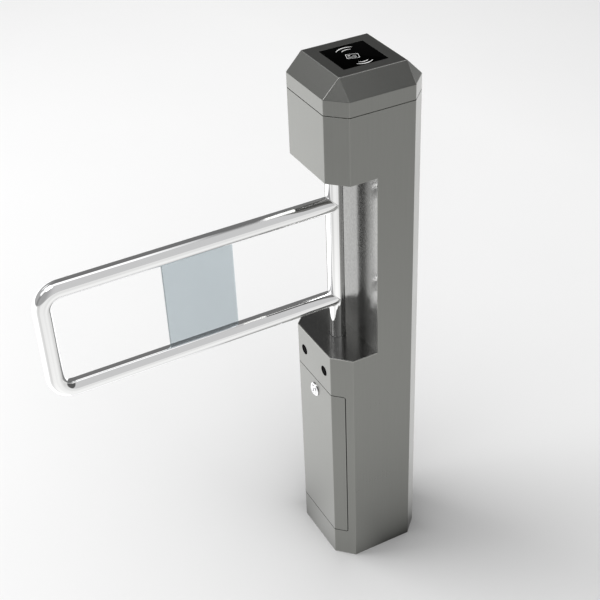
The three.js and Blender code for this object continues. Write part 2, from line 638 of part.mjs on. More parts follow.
// ---- passage sensors ----------------------------------------------------------
for (const [name, side] of SIDES) {
  const y = side * IR_Y;
  const barrel = cylX(9.6, [FRONT_X - 0.2, -62], y, IR_Z, 20)
    .subtract(cylX(8.4, [FRONT_X - 2, -86.6], y, IR_Z, 20));
  const lens = cylX(8.2, [FRONT_X - 0.1, -86.8], y, IR_Z, 20);
  part(post, "ir_sensor_" + name, barrel, materials.black);
  part(post, "ir_lens_" + name, lens, materials.blackGlass);
}

// ---- electronics --------------------------------------------------------------
// back sheet, two side flanges and four standoffs
const boardTray = () => {
  const z = [96, 276];
  const standoffs = [[-42, 134], [42, 134], [-42, 266], [42, 266]]; // y, z
  return add(
    box([76.5, 78], span(52), z),
    box([76.5, 88], [-52, -50.5], z),
    box([76.5, 88], [50.5, 52], z),
    ...standoffs.map(([y, height]) => cylX(3, [70.3, 77], y, height, 10)),
  );
};
// box components on the board: x of the face towards the front, y range, z range
const COMPONENTS = [
  [52, [-44, -20], [232, 266]], [54, [-14, 8], [236, 262]], [50, [14, 44], [244, 266]],
  [56, [18, 42], [204, 234]], [62, [-30, -6], [186, 214]], [48, [-44, 44], [130, 144]],
  [58, [-40, -24], [156, 176]], [60, [-14, 4], [154, 176]], [55, [14, 30], [158, 186]],
];
const controlBoard = () => {
  const seatX = 68.6; // components reach just into the board
  return add(
    box([68.4, 70], span(48), [126, 272]),
    ...COMPONENTS.map(([x, y, z]) => box([x, seatX], y, z)),
    ...[172, 188].map((z) => cylX(5, [46, seatX], 38, z, 16)),
  );
};
const powerSupply = () =>
  add(box([14, 62], span(48), [8.3, 56]), box([62, 66], span(48), [8.3, 20]));
const terminalBlock = () => {
  const [count, pitch, width] = [8, 10.8, 7]; // terminal pockets along y
  let block = add(box([64, 76.2], span(46), [100, 118]), box([70, 76.2], span(46), [97.5, 120.5]));
  for (let i = 0; i < count; i++) {
    const y = -42 + i * pitch;
    block = block.subtract(box([62, 68], [y, y + width], [104, 114]));
  }
  return block;
};
const cableGland = () => add(
  prism(regular(14, 6, CABLE_ENTRY), [8.2, 15]),
  cyl(10, [0.5, 9], CABLE_ENTRY, 20),
  cyl(11.5, [14.5, 27], CABLE_ENTRY, 20, 9),
).subtract(bore(4.6, CABLE_ENTRY, 16));
part(post, "board_tray", boardTray(), materials.zinc);
part(post, "control_board", controlBoard(), materials.board);
part(post, "power_supply", powerSupply(), materials.zinc);
part(post, "terminal_block", terminalBlock(), materials.green);
part(post, "cable_gland", cableGland(), materials.black);

// ---- wiring: name, cable radius, bend radius, corner points [x, y, z] -----------
const CABLES = [
  ["mains_cable", 4, 9, [
    [...CABLE_ENTRY, 1], [...CABLE_ENTRY, 74], [-6, -20, 84],
    [50, -38, 84], [69, -38, 92], [69, -38, 97],
  ]],
  ["reader_cable", 3, 10, [
    [22, 0, 991.4], [22, 0, 972], [58, 26, 940], [58, 26, 300], [58, 29, 268],
  ]],
  ["motor_cable", 2.5, 5, [
    [MOTOR_X, 9, 298.6], [MOTOR_X, 9, 284], [46, -2, 274], [60, -3, 264],
  ]],
];
for (const [name, radius, bend, points] of CABLES) {
  part(post, name, sweep(rounded(points, bend, 3), radius, 10), materials.black);
}

export default root;
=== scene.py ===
# A gate post: a sheet-steel post with chamfered corners under a folded cap, and a swinging
# arm bent from tube round a tinted panel. Metres, +Z up. The post stands on z = 0, centred
# on the Z axis. The arm reaches from its upright pivot tube towards -X. The cap carries a
# reader window with a printed symbol.
import bpy
import bmesh
import json
import math
from mathutils import Vector, Matrix


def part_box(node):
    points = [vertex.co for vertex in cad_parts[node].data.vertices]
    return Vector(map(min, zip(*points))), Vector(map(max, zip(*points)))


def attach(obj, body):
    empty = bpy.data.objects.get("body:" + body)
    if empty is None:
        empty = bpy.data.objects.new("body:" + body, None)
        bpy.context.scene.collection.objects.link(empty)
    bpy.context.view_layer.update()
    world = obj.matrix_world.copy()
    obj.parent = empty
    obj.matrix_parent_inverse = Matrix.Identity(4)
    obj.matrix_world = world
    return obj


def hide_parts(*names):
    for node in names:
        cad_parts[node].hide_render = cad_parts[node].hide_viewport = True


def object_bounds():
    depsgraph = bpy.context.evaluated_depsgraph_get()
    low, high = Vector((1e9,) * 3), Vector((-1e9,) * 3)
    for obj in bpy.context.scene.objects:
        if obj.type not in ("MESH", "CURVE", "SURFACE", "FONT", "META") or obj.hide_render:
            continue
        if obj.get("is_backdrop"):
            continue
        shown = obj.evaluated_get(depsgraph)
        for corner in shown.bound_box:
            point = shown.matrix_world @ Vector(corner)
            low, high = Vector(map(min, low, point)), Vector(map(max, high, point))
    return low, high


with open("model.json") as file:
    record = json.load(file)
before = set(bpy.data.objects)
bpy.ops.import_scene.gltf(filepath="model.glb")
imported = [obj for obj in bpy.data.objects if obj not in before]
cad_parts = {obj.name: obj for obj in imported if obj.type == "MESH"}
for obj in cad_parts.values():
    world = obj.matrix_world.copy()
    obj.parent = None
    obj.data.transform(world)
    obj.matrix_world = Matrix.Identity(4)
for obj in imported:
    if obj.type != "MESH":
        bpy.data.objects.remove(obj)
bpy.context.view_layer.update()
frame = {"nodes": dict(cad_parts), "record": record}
NODES = frame["nodes"]
SLOT = {part["node"]: part["material_slot"] for part in frame["record"]["subparts"]}
MM = 0.001
scene = bpy.context.scene

# ------------------------------------------------------------------ driving dimensions
tube_lo, tube_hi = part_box("pivot_tube")
arm_lo, arm_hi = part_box("arm_loop")
panel_lo, panel_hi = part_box("gate_panel")
window_lo, window_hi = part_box("reader_window")
cap_lo, cap_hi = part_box("top_cap")

PIVOT_X = (tube_lo.x + tube_hi.x) / 2
PIVOT_Y = (tube_lo.y + tube_hi.y) / 2
TUBE_R = (tube_hi.y - tube_lo.y) / 2
TUBE_WALL = 0.0015
TUBE_BORE_R = TUBE_R - TUBE_WALL
BEND_R = 0.032                   # centre line of the arm's two bends
RAIL_HI_Z = arm_hi.z - TUBE_R    # centre lines of the rails and of the far upright
RAIL_LO_Z = arm_lo.z + TUBE_R
ARM_END_X = arm_lo.x + TUBE_R
POST_HALF = -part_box("housing_shell")[0].x


# ------------------------------------------------------------------ node trees
class Tree:
    """Builds one node tree. A value may be a number, a tuple or an output socket."""

    def __init__(self, tree):
        self.tree = tree
        tree.nodes.clear()

    def put(self, node, key, value):
        socket = node.inputs[key]
        if isinstance(value, bpy.types.NodeSocket):
            self.tree.links.new(value, socket)
        else:
            socket.default_value = (*value, 1) if socket.type == "RGBA" else value

    def node(self, kind, inputs=None, **settings):
        node = self.tree.nodes.new("ShaderNode" + kind)
        for key, value in settings.items():
            setattr(node, key, value)
        for key, value in (inputs or {}).items():
            self.put(node, key, value)
        return node

    # Arithmetic: add and mul work from left to right through all their values.
    def math(self, operation, *values, clamp=False):
        inputs = dict(enumerate(values))
        return self.node("Math", inputs, operation=operation, use_clamp=clamp).outputs[0]

    def chain(self, operation, total, *rest):
        for value in rest:
            total = self.math(operation, total, value)
        return total

    def add(self, *values):
        return self.chain("ADD", *values)

    def mul(self, *values):
        return self.chain("MULTIPLY", *values)

    def sub(self, a, b, clamp=False):
        return self.math("SUBTRACT", a, b, clamp=clamp)

    def div(self, a, b):
        return self.math("DIVIDE", a, b)

    def abs(self, a):
        return self.math("ABSOLUTE", a)

    def above_zero(self, a):
        return self.math("MAXIMUM", a, 0.0)

    def decay(self, distance, reach):
        return self.math("EXPONENT", self.mul(distance, -1 / reach))

    def along(self, x, y, dx, dy):
        """How far (x, y) lies along the level direction (dx, dy)."""
        return self.add(self.mul(x, dx), self.mul(y, dy))

    def length(self, x, y, *least):
        return self.math("SQRT", self.add(self.mul(x, x), self.mul(y, y), *least))

    def map(self, value, span, to=(0.0, 1.0), kind="LINEAR"):
        """Carries the range span onto the range to."""
        inputs = dict(enumerate((value, *span, *to)))
        return self.node("MapRange", inputs, interpolation_type=kind).outputs[0]

    def smooth(self, value, span, to=(0.0, 1.0)):
        return self.map(value, span, to, "SMOOTHSTEP")

    def ramp(self, fac, stops):
        """Grey ramp from (position, value) stops."""
        node = self.node("ValToRGB", {0: fac})
        elements = node.color_ramp.elements
        while len(elements) > 1:
            elements.remove(elements[-1])
        elements[0].position = stops[0][0]
        for i, (position, value) in enumerate(stops):
            element = elements.new(position) if i else elements[0]
            element.color = (value, value, value, 1)
        return node.outputs[0]

    # Vectors and colours
    def xyz(self, vector):
        return self.node("SeparateXYZ", {0: vector}).outputs

    def dot(self, a, b):
        return self.node("VectorMath", {0: a, 1: b}, operation="DOT_PRODUCT").outputs["Value"]

    def scale(self, vector, factor):
        inputs = {0: vector, "Scale": factor}
        return self.node("VectorMath", inputs, operation="SCALE").outputs[0]

    def mix(self, fac, a, b):
        inputs = {0: fac, 6: a, 7: b}
        return self.node("Mix", inputs, data_type="RGBA", blend_type="MIX").outputs[2]

    def coords(self, stretch=(1, 1, 1), turn=(0, 0, 0)):
        place = self.node("TexCoord").outputs["Object"]
        inputs = {"Vector": place, "Scale": stretch, "Rotation": turn}
        return self.node("Mapping", inputs).outputs[0]

    def noise(self, scale, detail, rough, distortion=0.0, stretch=(1, 1, 1), turn=(0, 0, 0)):
        return self.node("TexNoise", {
            "Vector": self.coords(stretch, turn), "Scale": scale, "Detail": detail,
            "Roughness": rough, "Distortion": distortion,
        }).outputs["Fac"]

    # Shaders
    def mix_shader(self, fac, a, b):
        return self.node("MixShader", {0: fac, 1: a, 2: b}).outputs[0]

    def output(self, shader):
        self.node("OutputMaterial", {"Surface": shader})

    def surface(self, inputs, relief, strength, depth):
        """Principled surface with a bump map, sent to the output."""
        shader = self.node("BsdfPrincipled", inputs)
        bump = self.node("Bump", {"Strength": strength, "Distance": depth, "Height": relief})
        self.put(shader, "Normal", bump.outputs[0])
        self.output(shader.outputs[0])


def new_material(name):
    material = bpy.data.materials.new(name)
    material.use_nodes = True
    return material, Tree(material.node_tree)


def lighten(color, gain, lift=0.0):
    return tuple(min(1, c * gain + lift) for c in color)


# ------------------------------------------------------------------ materials
def satin_steel(name, color=(0.252, 0.254, 0.242), rough=0.30, grain=(1, 1, 0.012),
                bump=0.05, wear_and_highlight=0.65, highlight_line_z=None,
                mottle=0.0, metal=1.0, level_shade=None, wall_metal=None):
    """Sheet steel: directional grain, a slow cloudiness and edges painted brighter, partly as
    wear and partly as a painted highlight.

    grain stretches the grain noise, highlight_line_z is the height of a painted highlight
    line. mottle adds specks. level_shade paints level faces darker as a painted shade;
    wall_metal, which needs it, is the metallic value of upright faces and also paints light
    onto the wall's margins and the ledge's inner end.
    """
    grain_swing = 0.05  # roughness range the grain covers
    material, t = new_material(name)
    fine = t.noise(scale=1500, detail=3, rough=0.6, stretch=grain)
    coarse = t.noise(scale=420, detail=4, rough=0.6, stretch=tuple(g * 0.9 for g in grain))
    cloud = t.noise(scale=7, detail=3, rough=0.5)
    lines = t.add(t.mul(fine, 0.6), t.mul(coarse, 0.4))
    roughness = t.add(rough - grain_swing * 0.5, t.mul(lines, grain_swing))
    roughness = t.add(roughness, t.map(cloud, (0.3, 0.7), to=(-0.025, 0.03)))
    tone = t.map(lines, (0.25, 0.75), to=(0.955, 1.045))
    tone = t.mul(tone, t.map(cloud, (0.3, 0.7), to=(0.985, 1.02)))
    relief = lines
    if mottle:
        speck = t.noise(scale=230, detail=3, rough=0.65)
        roughness = t.add(roughness, t.map(speck, (0.35, 0.65), to=(-mottle, mottle)))
        tone = t.mul(tone, t.map(speck, (0.40, 0.60), to=(0.91, 1.09)))
        relief = t.add(lines, t.mul(speck, 1.2))

    # edges show where the rounded normal leaves the true one
    rounded = t.node("Bevel", {"Radius": 0.0012}, samples=4)
    geometry = t.node("NewGeometry").outputs
    agreement = t.dot(rounded.outputs[0], geometry["Normal"])
    edge = t.map(agreement, (0.80, 0.93), to=(1.0, 0.0))
    patches = t.noise(scale=60, detail=3, rough=0.6)
    worn_and_highlit = t.mul(edge, t.map(patches, (0.3, 0.7), to=(0.5 * wear_and_highlight, wear_and_highlight)))

    # painted shade: level faces are painted darker than upright ones
    if level_shade is not None:
        normal_z = t.xyz(geometry["True Normal"])[2]

        def by_facing(upright, level):
            return t.map(t.abs(normal_z), (0.5, 0.9), to=(upright, level))

        tone = t.mul(tone, by_facing(1.0, level_shade))
    # edges painted brighter and smoother: partly wear, partly a painted highlight along the
    # edges
    shown = t.mix(worn_and_highlit, t.scale(color, tone), lighten(color, 2.2))
    if highlight_line_z is not None:  # painted highlight: a thin bright line at that height, on the -X side
        x, _, z = t.xyz(geometry["Position"])
        gap = t.abs(t.sub(z, highlight_line_z))
        highlight_line = t.mul(t.map(gap, (0.0006, 0.0012), to=(0.8, 0.0)),
                         t.map(x, (-0.012, -0.010), to=(1.0, 0.0)))
        shown = t.mix(highlight_line, shown, lighten(color, 2.4))
    roughness = t.sub(roughness, t.mul(worn_and_highlit, 0.12), clamp=True)
    if wall_metal is not None:  # upright faces carry a thin film that scatters a little
        metal = by_facing(wall_metal, metal)
        x, y, _ = t.xyz(geometry["Position"])
        # painted light: the wall's outer margins and the ledge's inner end are painted brighter
        margin_light = t.smooth(t.abs(y), (0.056, 0.070), to=(1.0, 1.27))
        inner = t.smooth(x, (-0.055, -0.018), to=(1.0, 1.55))
        shown = t.scale(shown, by_facing(margin_light, inner))
    t.surface({"Base Color": shown, "Metallic": metal, "Roughness": roughness},
              relief=relief, strength=bump, depth=0.0004)
    return material


def polished(name, color=(0.95, 0.95, 0.955), rough=0.022):
    """Mirror-polished metal with faint wipe marks and hairline scratches."""
    material, t = new_material(name)
    smudge = t.noise(scale=14, detail=4, rough=0.6, distortion=0.6)
    hair = t.noise(scale=2200, detail=2, rough=0.6, stretch=(0.05, 1, 1))
    roughness = t.add(rough, t.map(smudge, (0.45, 0.75), to=(0.0, 0.045)),
                      t.map(hair, (0.62, 0.8), to=(0.0, 0.05)))
    shown = t.scale(color, t.map(smudge, (0.3, 0.8), to=(1.0, 0.975)))
    t.surface({"Base Color": shown, "Metallic": 1.0, "Roughness": roughness},
              relief=hair, strength=0.012, depth=0.0002)
    return material


def machined(name, color, rough):
    """Turned or ground metal: fine tool marks, oily patches."""
    material, t = new_material(name)
    marks = t.noise(scale=700, detail=3, rough=0.6, stretch=(1, 1, 6))
    oil = t.noise(scale=35, detail=4, rough=0.6, distortion=0.4)
    roughness = t.add(rough, t.map(marks, (0.3, 0.7), to=(-0.05, 0.07)),
                      t.map(oil, (0.45, 0.7), to=(0.05, -0.1)))
    tone = t.mul(t.map(marks, (0.3, 0.7), to=(0.93, 1.05)),
                 t.map(oil, (0.4, 0.75), to=(1.0, 0.82)))
    t.surface({"Base Color": t.scale(color, tone), "Metallic": 1.0, "Roughness": roughness},
              relief=marks, strength=0.06, depth=0.0004)
    return material


def zinc(name, color=(0.50, 0.505, 0.49)):
    """Bright zinc plate: crystalline mottling with a faint yellow-blue drift."""
    material, t = new_material(name)
    cells = t.node("TexVoronoi", {"Vector": t.coords(), "Scale": 260}, feature="F1")
    cell = t.node("SeparateColor", {0: cells.outputs["Color"]}).outputs
    drift = t.noise(scale=18, detail=3, rough=0.5)
    yellow = tuple(c * f for c, f in zip(color, (1.06, 1.02, 0.90)))
    blue = tuple(c * f for c, f in zip(color, (0.93, 0.98, 1.06)))
    roughness = t.add(0.30, t.mul(cell[0], 0.12))
    shown = t.mix(t.mul(cell[1], 0.18), t.mix(drift, yellow, blue), (0.7, 0.7, 0.7))
    t.surface({"Base Color": shown, "Metallic": 1.0, "Roughness": roughness},
              relief=cell[0], strength=0.05, depth=0.0003)
    return material


def plastic(name, color, rough, grain=900, bump=0.12, specular=0.5, dusty=0.12):
    """Moulded plastic or rubber: spark-eroded texture, slight dust in the tone."""
    material, t = new_material(name)
    texture = t.noise(scale=grain, detail=3, rough=0.6)
    dust = t.noise(scale=22, detail=4, rough=0.6)
    cover = t.map(dust, (0.35, 0.75), to=(0.0, dusty))
    t.surface({
        "Base Color": t.mix(cover, color, lighten(color, 1.6, 0.02)),
        "Roughness": t.add(rough, t.map(texture, (0.3, 0.7), to=(-0.06, 0.06))),
        "Specular IOR Level": specular,
        "Coat Roughness": 0.05,
    }, relief=texture, strength=bump, depth=0.0003)
    return material


def black_gloss(name):
    """Glossy black acrylic with faint wipe marks and dust."""
    material, t = new_material(name)
    smear = t.noise(scale=60, detail=4, rough=0.6, distortion=0.5,
                    stretch=(1, 0.25, 1), turn=(0, 0, 0.5))
    dust = t.noise(scale=2600, detail=2, rough=0.5)
    cover = t.map(dust, (0.72, 0.82), to=(0.0, 0.12))
    t.surface({
        "Base Color": t.mix(cover, (0.0004, 0.0004, 0.0004), (0.012, 0.012, 0.012)),
        "Roughness": t.add(0.05, t.map(smear, (0.5, 0.8), to=(0.0, 0.08))),
        "Specular IOR Level": 0.004,
    }, relief=smear, strength=0.01, depth=0.0005)
    return material


def tinted_clear(name):
    """Clear acrylic with a blue-grey tint: see-through, glossy, with a breath of dust."""
    material, t = new_material(name)
    haze = t.noise(scale=9, detail=3, rough=0.5)
    dust = t.noise(scale=1500, detail=3, rough=0.65)
    tint = t.mix(t.map(haze, (0.3, 0.7)), (0.731, 0.768, 0.786), (0.745, 0.782, 0.800))
    clear = t.node("BsdfTransparent", {0: tint})
    sheen = t.map(dust, (0.3, 0.7), to=(0.03, 0.07))
    gloss = t.node("BsdfGlossy", {"Color": (1, 1, 1), "Roughness": sheen})
    fresnel = t.node("Fresnel", {"IOR": 1.49})
    film = t.node("BsdfDiffuse", {"Color": (0.62, 0.66, 0.68)})
    glossy = t.mix_shader(t.mul(fresnel.outputs[0], 0.25), clear.outputs[0], gloss.outputs[0])
    cover = t.map(dust, (0.45, 0.8), to=(0.01, 0.06))
    t.output(t.mix_shader(cover, glossy, film.outputs[0]))
    return material


def cut_edge(name):
    """Sawn and scraped edge of the same sheet, with fine vertical tool marks, painted darker as
    a painted shade.
    """
    material, t = new_material(name)
    marks = t.noise(scale=1600, detail=3, rough=0.6, stretch=(1, 1, 0.03))
    t.surface({
        "Base Color": t.mix(t.map(marks, (0.3, 0.7)),
                            (0.135, 0.165, 0.175), (0.205, 0.240, 0.252)),
        "Roughness": t.map(marks, (0.3, 0.7), to=(0.28, 0.42)),
    }, relief=marks, strength=0.08, depth=0.0003)
    return material


def board_green(name):
    """Circuit board: a green brick pattern under a thin coat."""
    material, t = new_material(name)
    tracks = t.node("TexBrick", {
        "Vector": t.coords(turn=(0, math.pi / 2, 0)),
        "Scale": 120,
        "Mortar Size": 0.06,
        "Color1": (0.010, 0.085, 0.035),
        "Color2": (0.008, 0.070, 0.030),
        "Mortar": (0.020, 0.130, 0.055),
    }, offset=0.5)
    texture = t.noise(scale=500, detail=3, rough=0.6)
    t.surface({
        "Base Color": tracks.outputs["Color"],
        "Roughness": t.map(texture, (0.3, 0.7), to=(0.25, 0.42)),
        "Coat Weight": 0.4,
    }, relief=texture, strength=0.06, depth=0.0003)
    return material


def symbol_white(name):
    """White printing ink."""
    material, t = new_material(name)
    texture = t.noise(scale=1500, detail=3, rough=0.6)
    t.surface({
        "Base Color": t.mix(t.map(texture, (0.3, 0.7)), (0.74, 0.74, 0.73), (0.86, 0.86, 0.85)),
        "Roughness": t.map(texture, (0.3, 0.7), to=(0.42, 0.55)),
    }, relief=texture, strength=0.05, depth=0.0001)
    return material


MATERIALS = {  # by material slot
    "brushed_steel": satin_steel("satin_stainless", highlight_line_z=0.4862),
    "bay_steel": satin_steel(
        "bay_stainless", color=(0.248, 0.248, 0.242), rough=0.125, grain=(1, 1, 1), bump=0.16,
        wear_and_highlight=0.5, mottle=0.05, metal=0.97, level_shade=0.76, wall_metal=0.86),
    "polished_tube": polished("polished_stainless"),
    "chrome_lock": polished("chrome", color=(0.88, 0.88, 0.89), rough=0.06),
    "tinted_panel": tinted_clear("tinted_acrylic"),
    "black_window": black_gloss("gloss_black"),
    "black_plastic": plastic("moulded_black", (0.012, 0.012, 0.012), rough=0.42),
    "rubber": plastic("rubber_black", (0.015, 0.015, 0.015), rough=0.72,
                      grain=500, bump=0.25, specular=0.3),
    "cable_sheath": plastic("cable_sheath", (0.014, 0.014, 0.016), rough=0.5,
                            grain=350, bump=0.18, specular=0.4),
    "board": board_green("circuit_board"),
    "terminal_green": plastic("terminal_green", (0.03, 0.20, 0.06), rough=0.38),
    "motor_black": plastic("motor_black", (0.018, 0.018, 0.02), rough=0.35, grain=260, bump=0.2),
    "brake_black": plastic("coil_black", (0.02, 0.02, 0.022), rough=0.4, grain=300, bump=0.2),
    "plate_steel": machined("plate_steel", (0.33, 0.34, 0.35), rough=0.42),
    "bearing_steel": machined("bearing_steel", (0.58, 0.58, 0.60), rough=0.22),
    "gear_steel": machined("gear_steel", (0.36, 0.355, 0.34), rough=0.30),
    "shaft_steel": machined("shaft_steel", (0.50, 0.50, 0.50), rough=0.26),
    "cast_housing": machined("cast_aluminium", (0.55, 0.56, 0.57), rough=0.5),
    "perforated_case": machined("folded_aluminium", (0.60, 0.61, 0.62), rough=0.4),
    "zinc_plated": zinc("zinc_plate"),
}
SYMBOL_WHITE = symbol_white("symbol_white")
SHADED_CUT_EDGE = cut_edge("acrylic_edge_shaded")
SENSOR_BLACK = plastic("sensor_black", (0.0012, 0.0012, 0.0012), rough=0.6,
                       bump=0.1, specular=0.05, dusty=0.02)
# painted highlight: a lighter, smoother steel for the cap's fold lines
FOLD_HIGHLIGHT = satin_steel("fold_painted_highlight", color=(0.60, 0.60, 0.585), rough=0.17, wear_and_highlight=0.2)
# painted shade: a near-black plastic for the inside of the key slot
KEYWAY_SHADE = plastic("keyway_painted_shade", (0.002, 0.002, 0.002), rough=0.6,
                      bump=0.1, specular=0.1, dusty=0.02)

for name, node in NODES.items():
    node.data.materials.clear()
    node.data.materials.append(MATERIALS[SLOT[name]])


# ------------------------------------------------------------------ mesh helpers
def shade_smooth(mesh):
    mesh.polygons.foreach_set("use_smooth", [True] * len(mesh.polygons))


def piece(name, verts, faces, body, slot, replaces=(), material=None, smooth=35):
    """Makes one object. smooth is the angle in degrees above which edges stay sharp;
    0 leaves the faces flat."""
    mesh = bpy.data.meshes.new(name)
    mesh.from_pydata([tuple(v) for v in verts], [], faces)
    mesh.validate()
    bm = bmesh.new()
    bm.from_mesh(mesh)
    bmesh.ops.recalc_face_normals(bm, faces=bm.faces)
    bm.to_mesh(mesh)
    bm.free()
    obj = bpy.data.objects.new(name, mesh)
    scene.collection.objects.link(obj)
    mesh.materials.append(material or MATERIALS[slot])
    if smooth:
        shade_smooth(mesh)
        mesh.set_sharp_from_angle(angle=math.radians(smooth))
    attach(obj, body)
    if replaces:
        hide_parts(*replaces)
    return obj


def skin(rings, closed=False):
    """Quads between rings of equal length. The last ring joins the first if closed;
    otherwise both ends get an n-gon."""
    size = len(rings[0])
    count = len(rings)
    verts = [point for ring in rings for point in ring]
    faces = []
    for i in range(count if closed else count - 1):
        a = i * size
        b = ((i + 1) % count) * size
        for k in range(size):
            after = (k + 1) % size
            faces.append((a + k, a + after, b + after, b + k))
    if not closed:
        faces.append(tuple(reversed(range(size))))
        faces.append(tuple(range((count - 1) * size, count * size)))
    return verts, faces


def lathe(profile, centre, axis, sides=64):
    """Turns a profile of (radius, distance along the axis) about an axis through centre.
    One that starts and ends on the axis is closed there by flat discs."""
    forward = Vector(axis).normalized()
    side = forward.orthogonal().normalized()
    up = forward.cross(side)
    closed = profile[0][0] > 1e-6
    angles = [2 * math.pi * i / sides for i in range(sides)]
    rings = []
    for radius, distance in (profile if closed else profile[1:-1]):
        middle = Vector(centre) + forward * distance
        rings.append([middle + (side * math.cos(a) + up * math.sin(a)) * radius for a in angles])
    return skin(rings, closed)


def in_metres(profile):
    return [(radius * MM, distance * MM) for radius, distance in profile]


def fillet_profile(points, radii, steps):
    """Rounds the corners of a closed 2-D profile, one radius for each point."""
    rounded = []
    for i, radius in enumerate(radii):
        corner = Vector(points[i])
        before = Vector(points[i - 1])
        after = Vector(points[(i + 1) % len(points)])
        if radius <= 0:
            rounded.append(tuple(corner))
            continue
        back = (before - corner).normalized()
        ahead = (after - corner).normalized()
        cut = min(radius / math.tan(back.angle(ahead) / 2),
                  (before - corner).length * 0.49, (after - corner).length * 0.49)
        start = corner + back * cut
        end = corner + ahead * cut
        for k in range(steps + 1):
            f = k / steps
            rounded.append(tuple(start.lerp(corner, f).lerp(corner.lerp(end, f), f)))
    return rounded


def corner_arcs(x0, x1, y0, y1, radius, steps=6):
    """Outline of a round-cornered rectangle, each point as (arc centre x, arc centre y,
    outward x, outward y)."""
    centres = ((x1 - radius, y1 - radius), (x0 + radius, y1 - radius),
               (x0 + radius, y0 + radius), (x1 - radius, y0 + radius))
    points = []
    for quarter, (cx, cy) in enumerate(centres):
        for k in range(steps + 1):
            angle = math.radians(90 * quarter + 90 / steps * k)
            points.append((cx, cy, math.cos(angle), math.sin(angle)))
    return points


def weighted_normals(obj, name):
    modifier = obj.modifiers.new(name, "WEIGHTED_NORMAL")
    modifier.keep_sharp = False
    modifier.weight = 50


# ------------------------------------------------------------------ CAD nodes: edges
SHEET_BEVELS = {"housing_shell": 0.0007, "door_panel": 0.0006, "bay_liner": 0.0003}


def finish_node(name, node):
    """Rounds the edges of the sheet parts and splits the sharp edges of the others."""
    shade_smooth(node.data)
    weld = node.modifiers.new("weld", "WELD")
    weld.merge_threshold = 1e-5
    if name not in SHEET_BEVELS:
        split = node.modifiers.new("split", "EDGE_SPLIT")
        split.split_angle = math.radians(32)
        return
    bevel = node.modifiers.new("bevel", "BEVEL")
    bevel.width = SHEET_BEVELS[name]
    bevel.segments = 3
    bevel.limit_method = "ANGLE"
    bevel.angle_limit = math.radians(28)
    bevel.use_clamp_overlap = True
    bevel.harden_normals = False
    bevel.miter_outer = "MITER_SHARP"
    weighted_normals(node, "edges")


for name, node in NODES.items():
    finish_node(name, node)


# ------------------------------------------------------------------ arm
def arm_path():
    """Stations (centre, outward normal in the loop's plane) from the upper joint round
    to the lower one."""
    bend_steps = 28
    up, left, down = Vector((0, 0, 1)), Vector((-1, 0, 0)), Vector((0, 0, -1))
    start_x = PIVOT_X - TUBE_R * 1.1
    bend_x = ARM_END_X + BEND_R
    stations = []

    def at(x, z):
        return Vector((x, PIVOT_Y, z))

    def straight(start, end, normal, steps):
        for i in range(steps):
            stations.append((start.lerp(end, i / steps), normal))

    def bend(centre, first, last):
        for i in range(bend_steps):
            angle = math.pi / 2 * i / bend_steps
            normal = first * math.cos(angle) + last * math.sin(angle)
            stations.append((centre + normal * BEND_R, normal))

    straight(at(start_x, RAIL_HI_Z), at(bend_x, RAIL_HI_Z), up, 10)
    bend(at(bend_x, RAIL_HI_Z - BEND_R), up, left)
    straight(at(ARM_END_X, RAIL_HI_Z - BEND_R), at(ARM_END_X, RAIL_LO_Z + BEND_R), left, 6)
    bend(at(bend_x, RAIL_LO_Z + BEND_R), left, down)
    straight(at(bend_x, RAIL_LO_Z), at(start_x, RAIL_LO_Z), down, 10)
    stations.append((at(start_x, RAIL_LO_Z), down))
    return stations


def arm_tube():
    """One bent tube, fish-mouthed onto the pivot tube at both ends."""
    sides = 72
    mouth_r = TUBE_R + 0.00005  # clears the pivot tube's surface
    side = Vector((0, 1, 0))
    angles = [2 * math.pi * k / sides for k in range(sides)]
    stations = arm_path()

    def mouth(z, up_sign, radius):
        """End ring lying on the pivot tube."""
        points = []
        for a in angles:
            y = radius * math.sin(a)
            rise = radius * math.cos(a) * up_sign
            reach = math.sqrt(max(mouth_r * mouth_r - y * y, 0))
            points.append(Vector((PIVOT_X - reach, PIVOT_Y + y, z + rise)))
        return points

    def wall(radius):
        rings = [mouth(RAIL_HI_Z, 1, radius)]
        for centre, normal in stations:
            rings.append([centre + (normal * math.cos(a) + side * math.sin(a)) * radius
                          for a in angles])
        return rings + [mouth(RAIL_LO_Z, -1, radius)]

    verts, faces = skin(wall(TUBE_R) + wall(TUBE_BORE_R)[::-1], closed=True)
    piece("arm_loop_tube", verts, faces, "gate", "polished_tube", ("arm_loop",), smooth=50)


def pivot_tube():
    """Upright tube with small deburred rims."""
    section = [(TUBE_BORE_R, tube_lo.z), (TUBE_R, tube_lo.z),
               (TUBE_R, tube_hi.z), (TUBE_BORE_R, tube_hi.z)]
    profile = fillet_profile(section, [0.0004] * 4, steps=3)
    verts, faces = lathe(profile, (PIVOT_X, PIVOT_Y, 0), (0, 0, 1), sides=96)
    piece("pivot_tube_polished", verts, faces, "gate", "polished_tube", ("pivot_tube",),
          smooth=50)


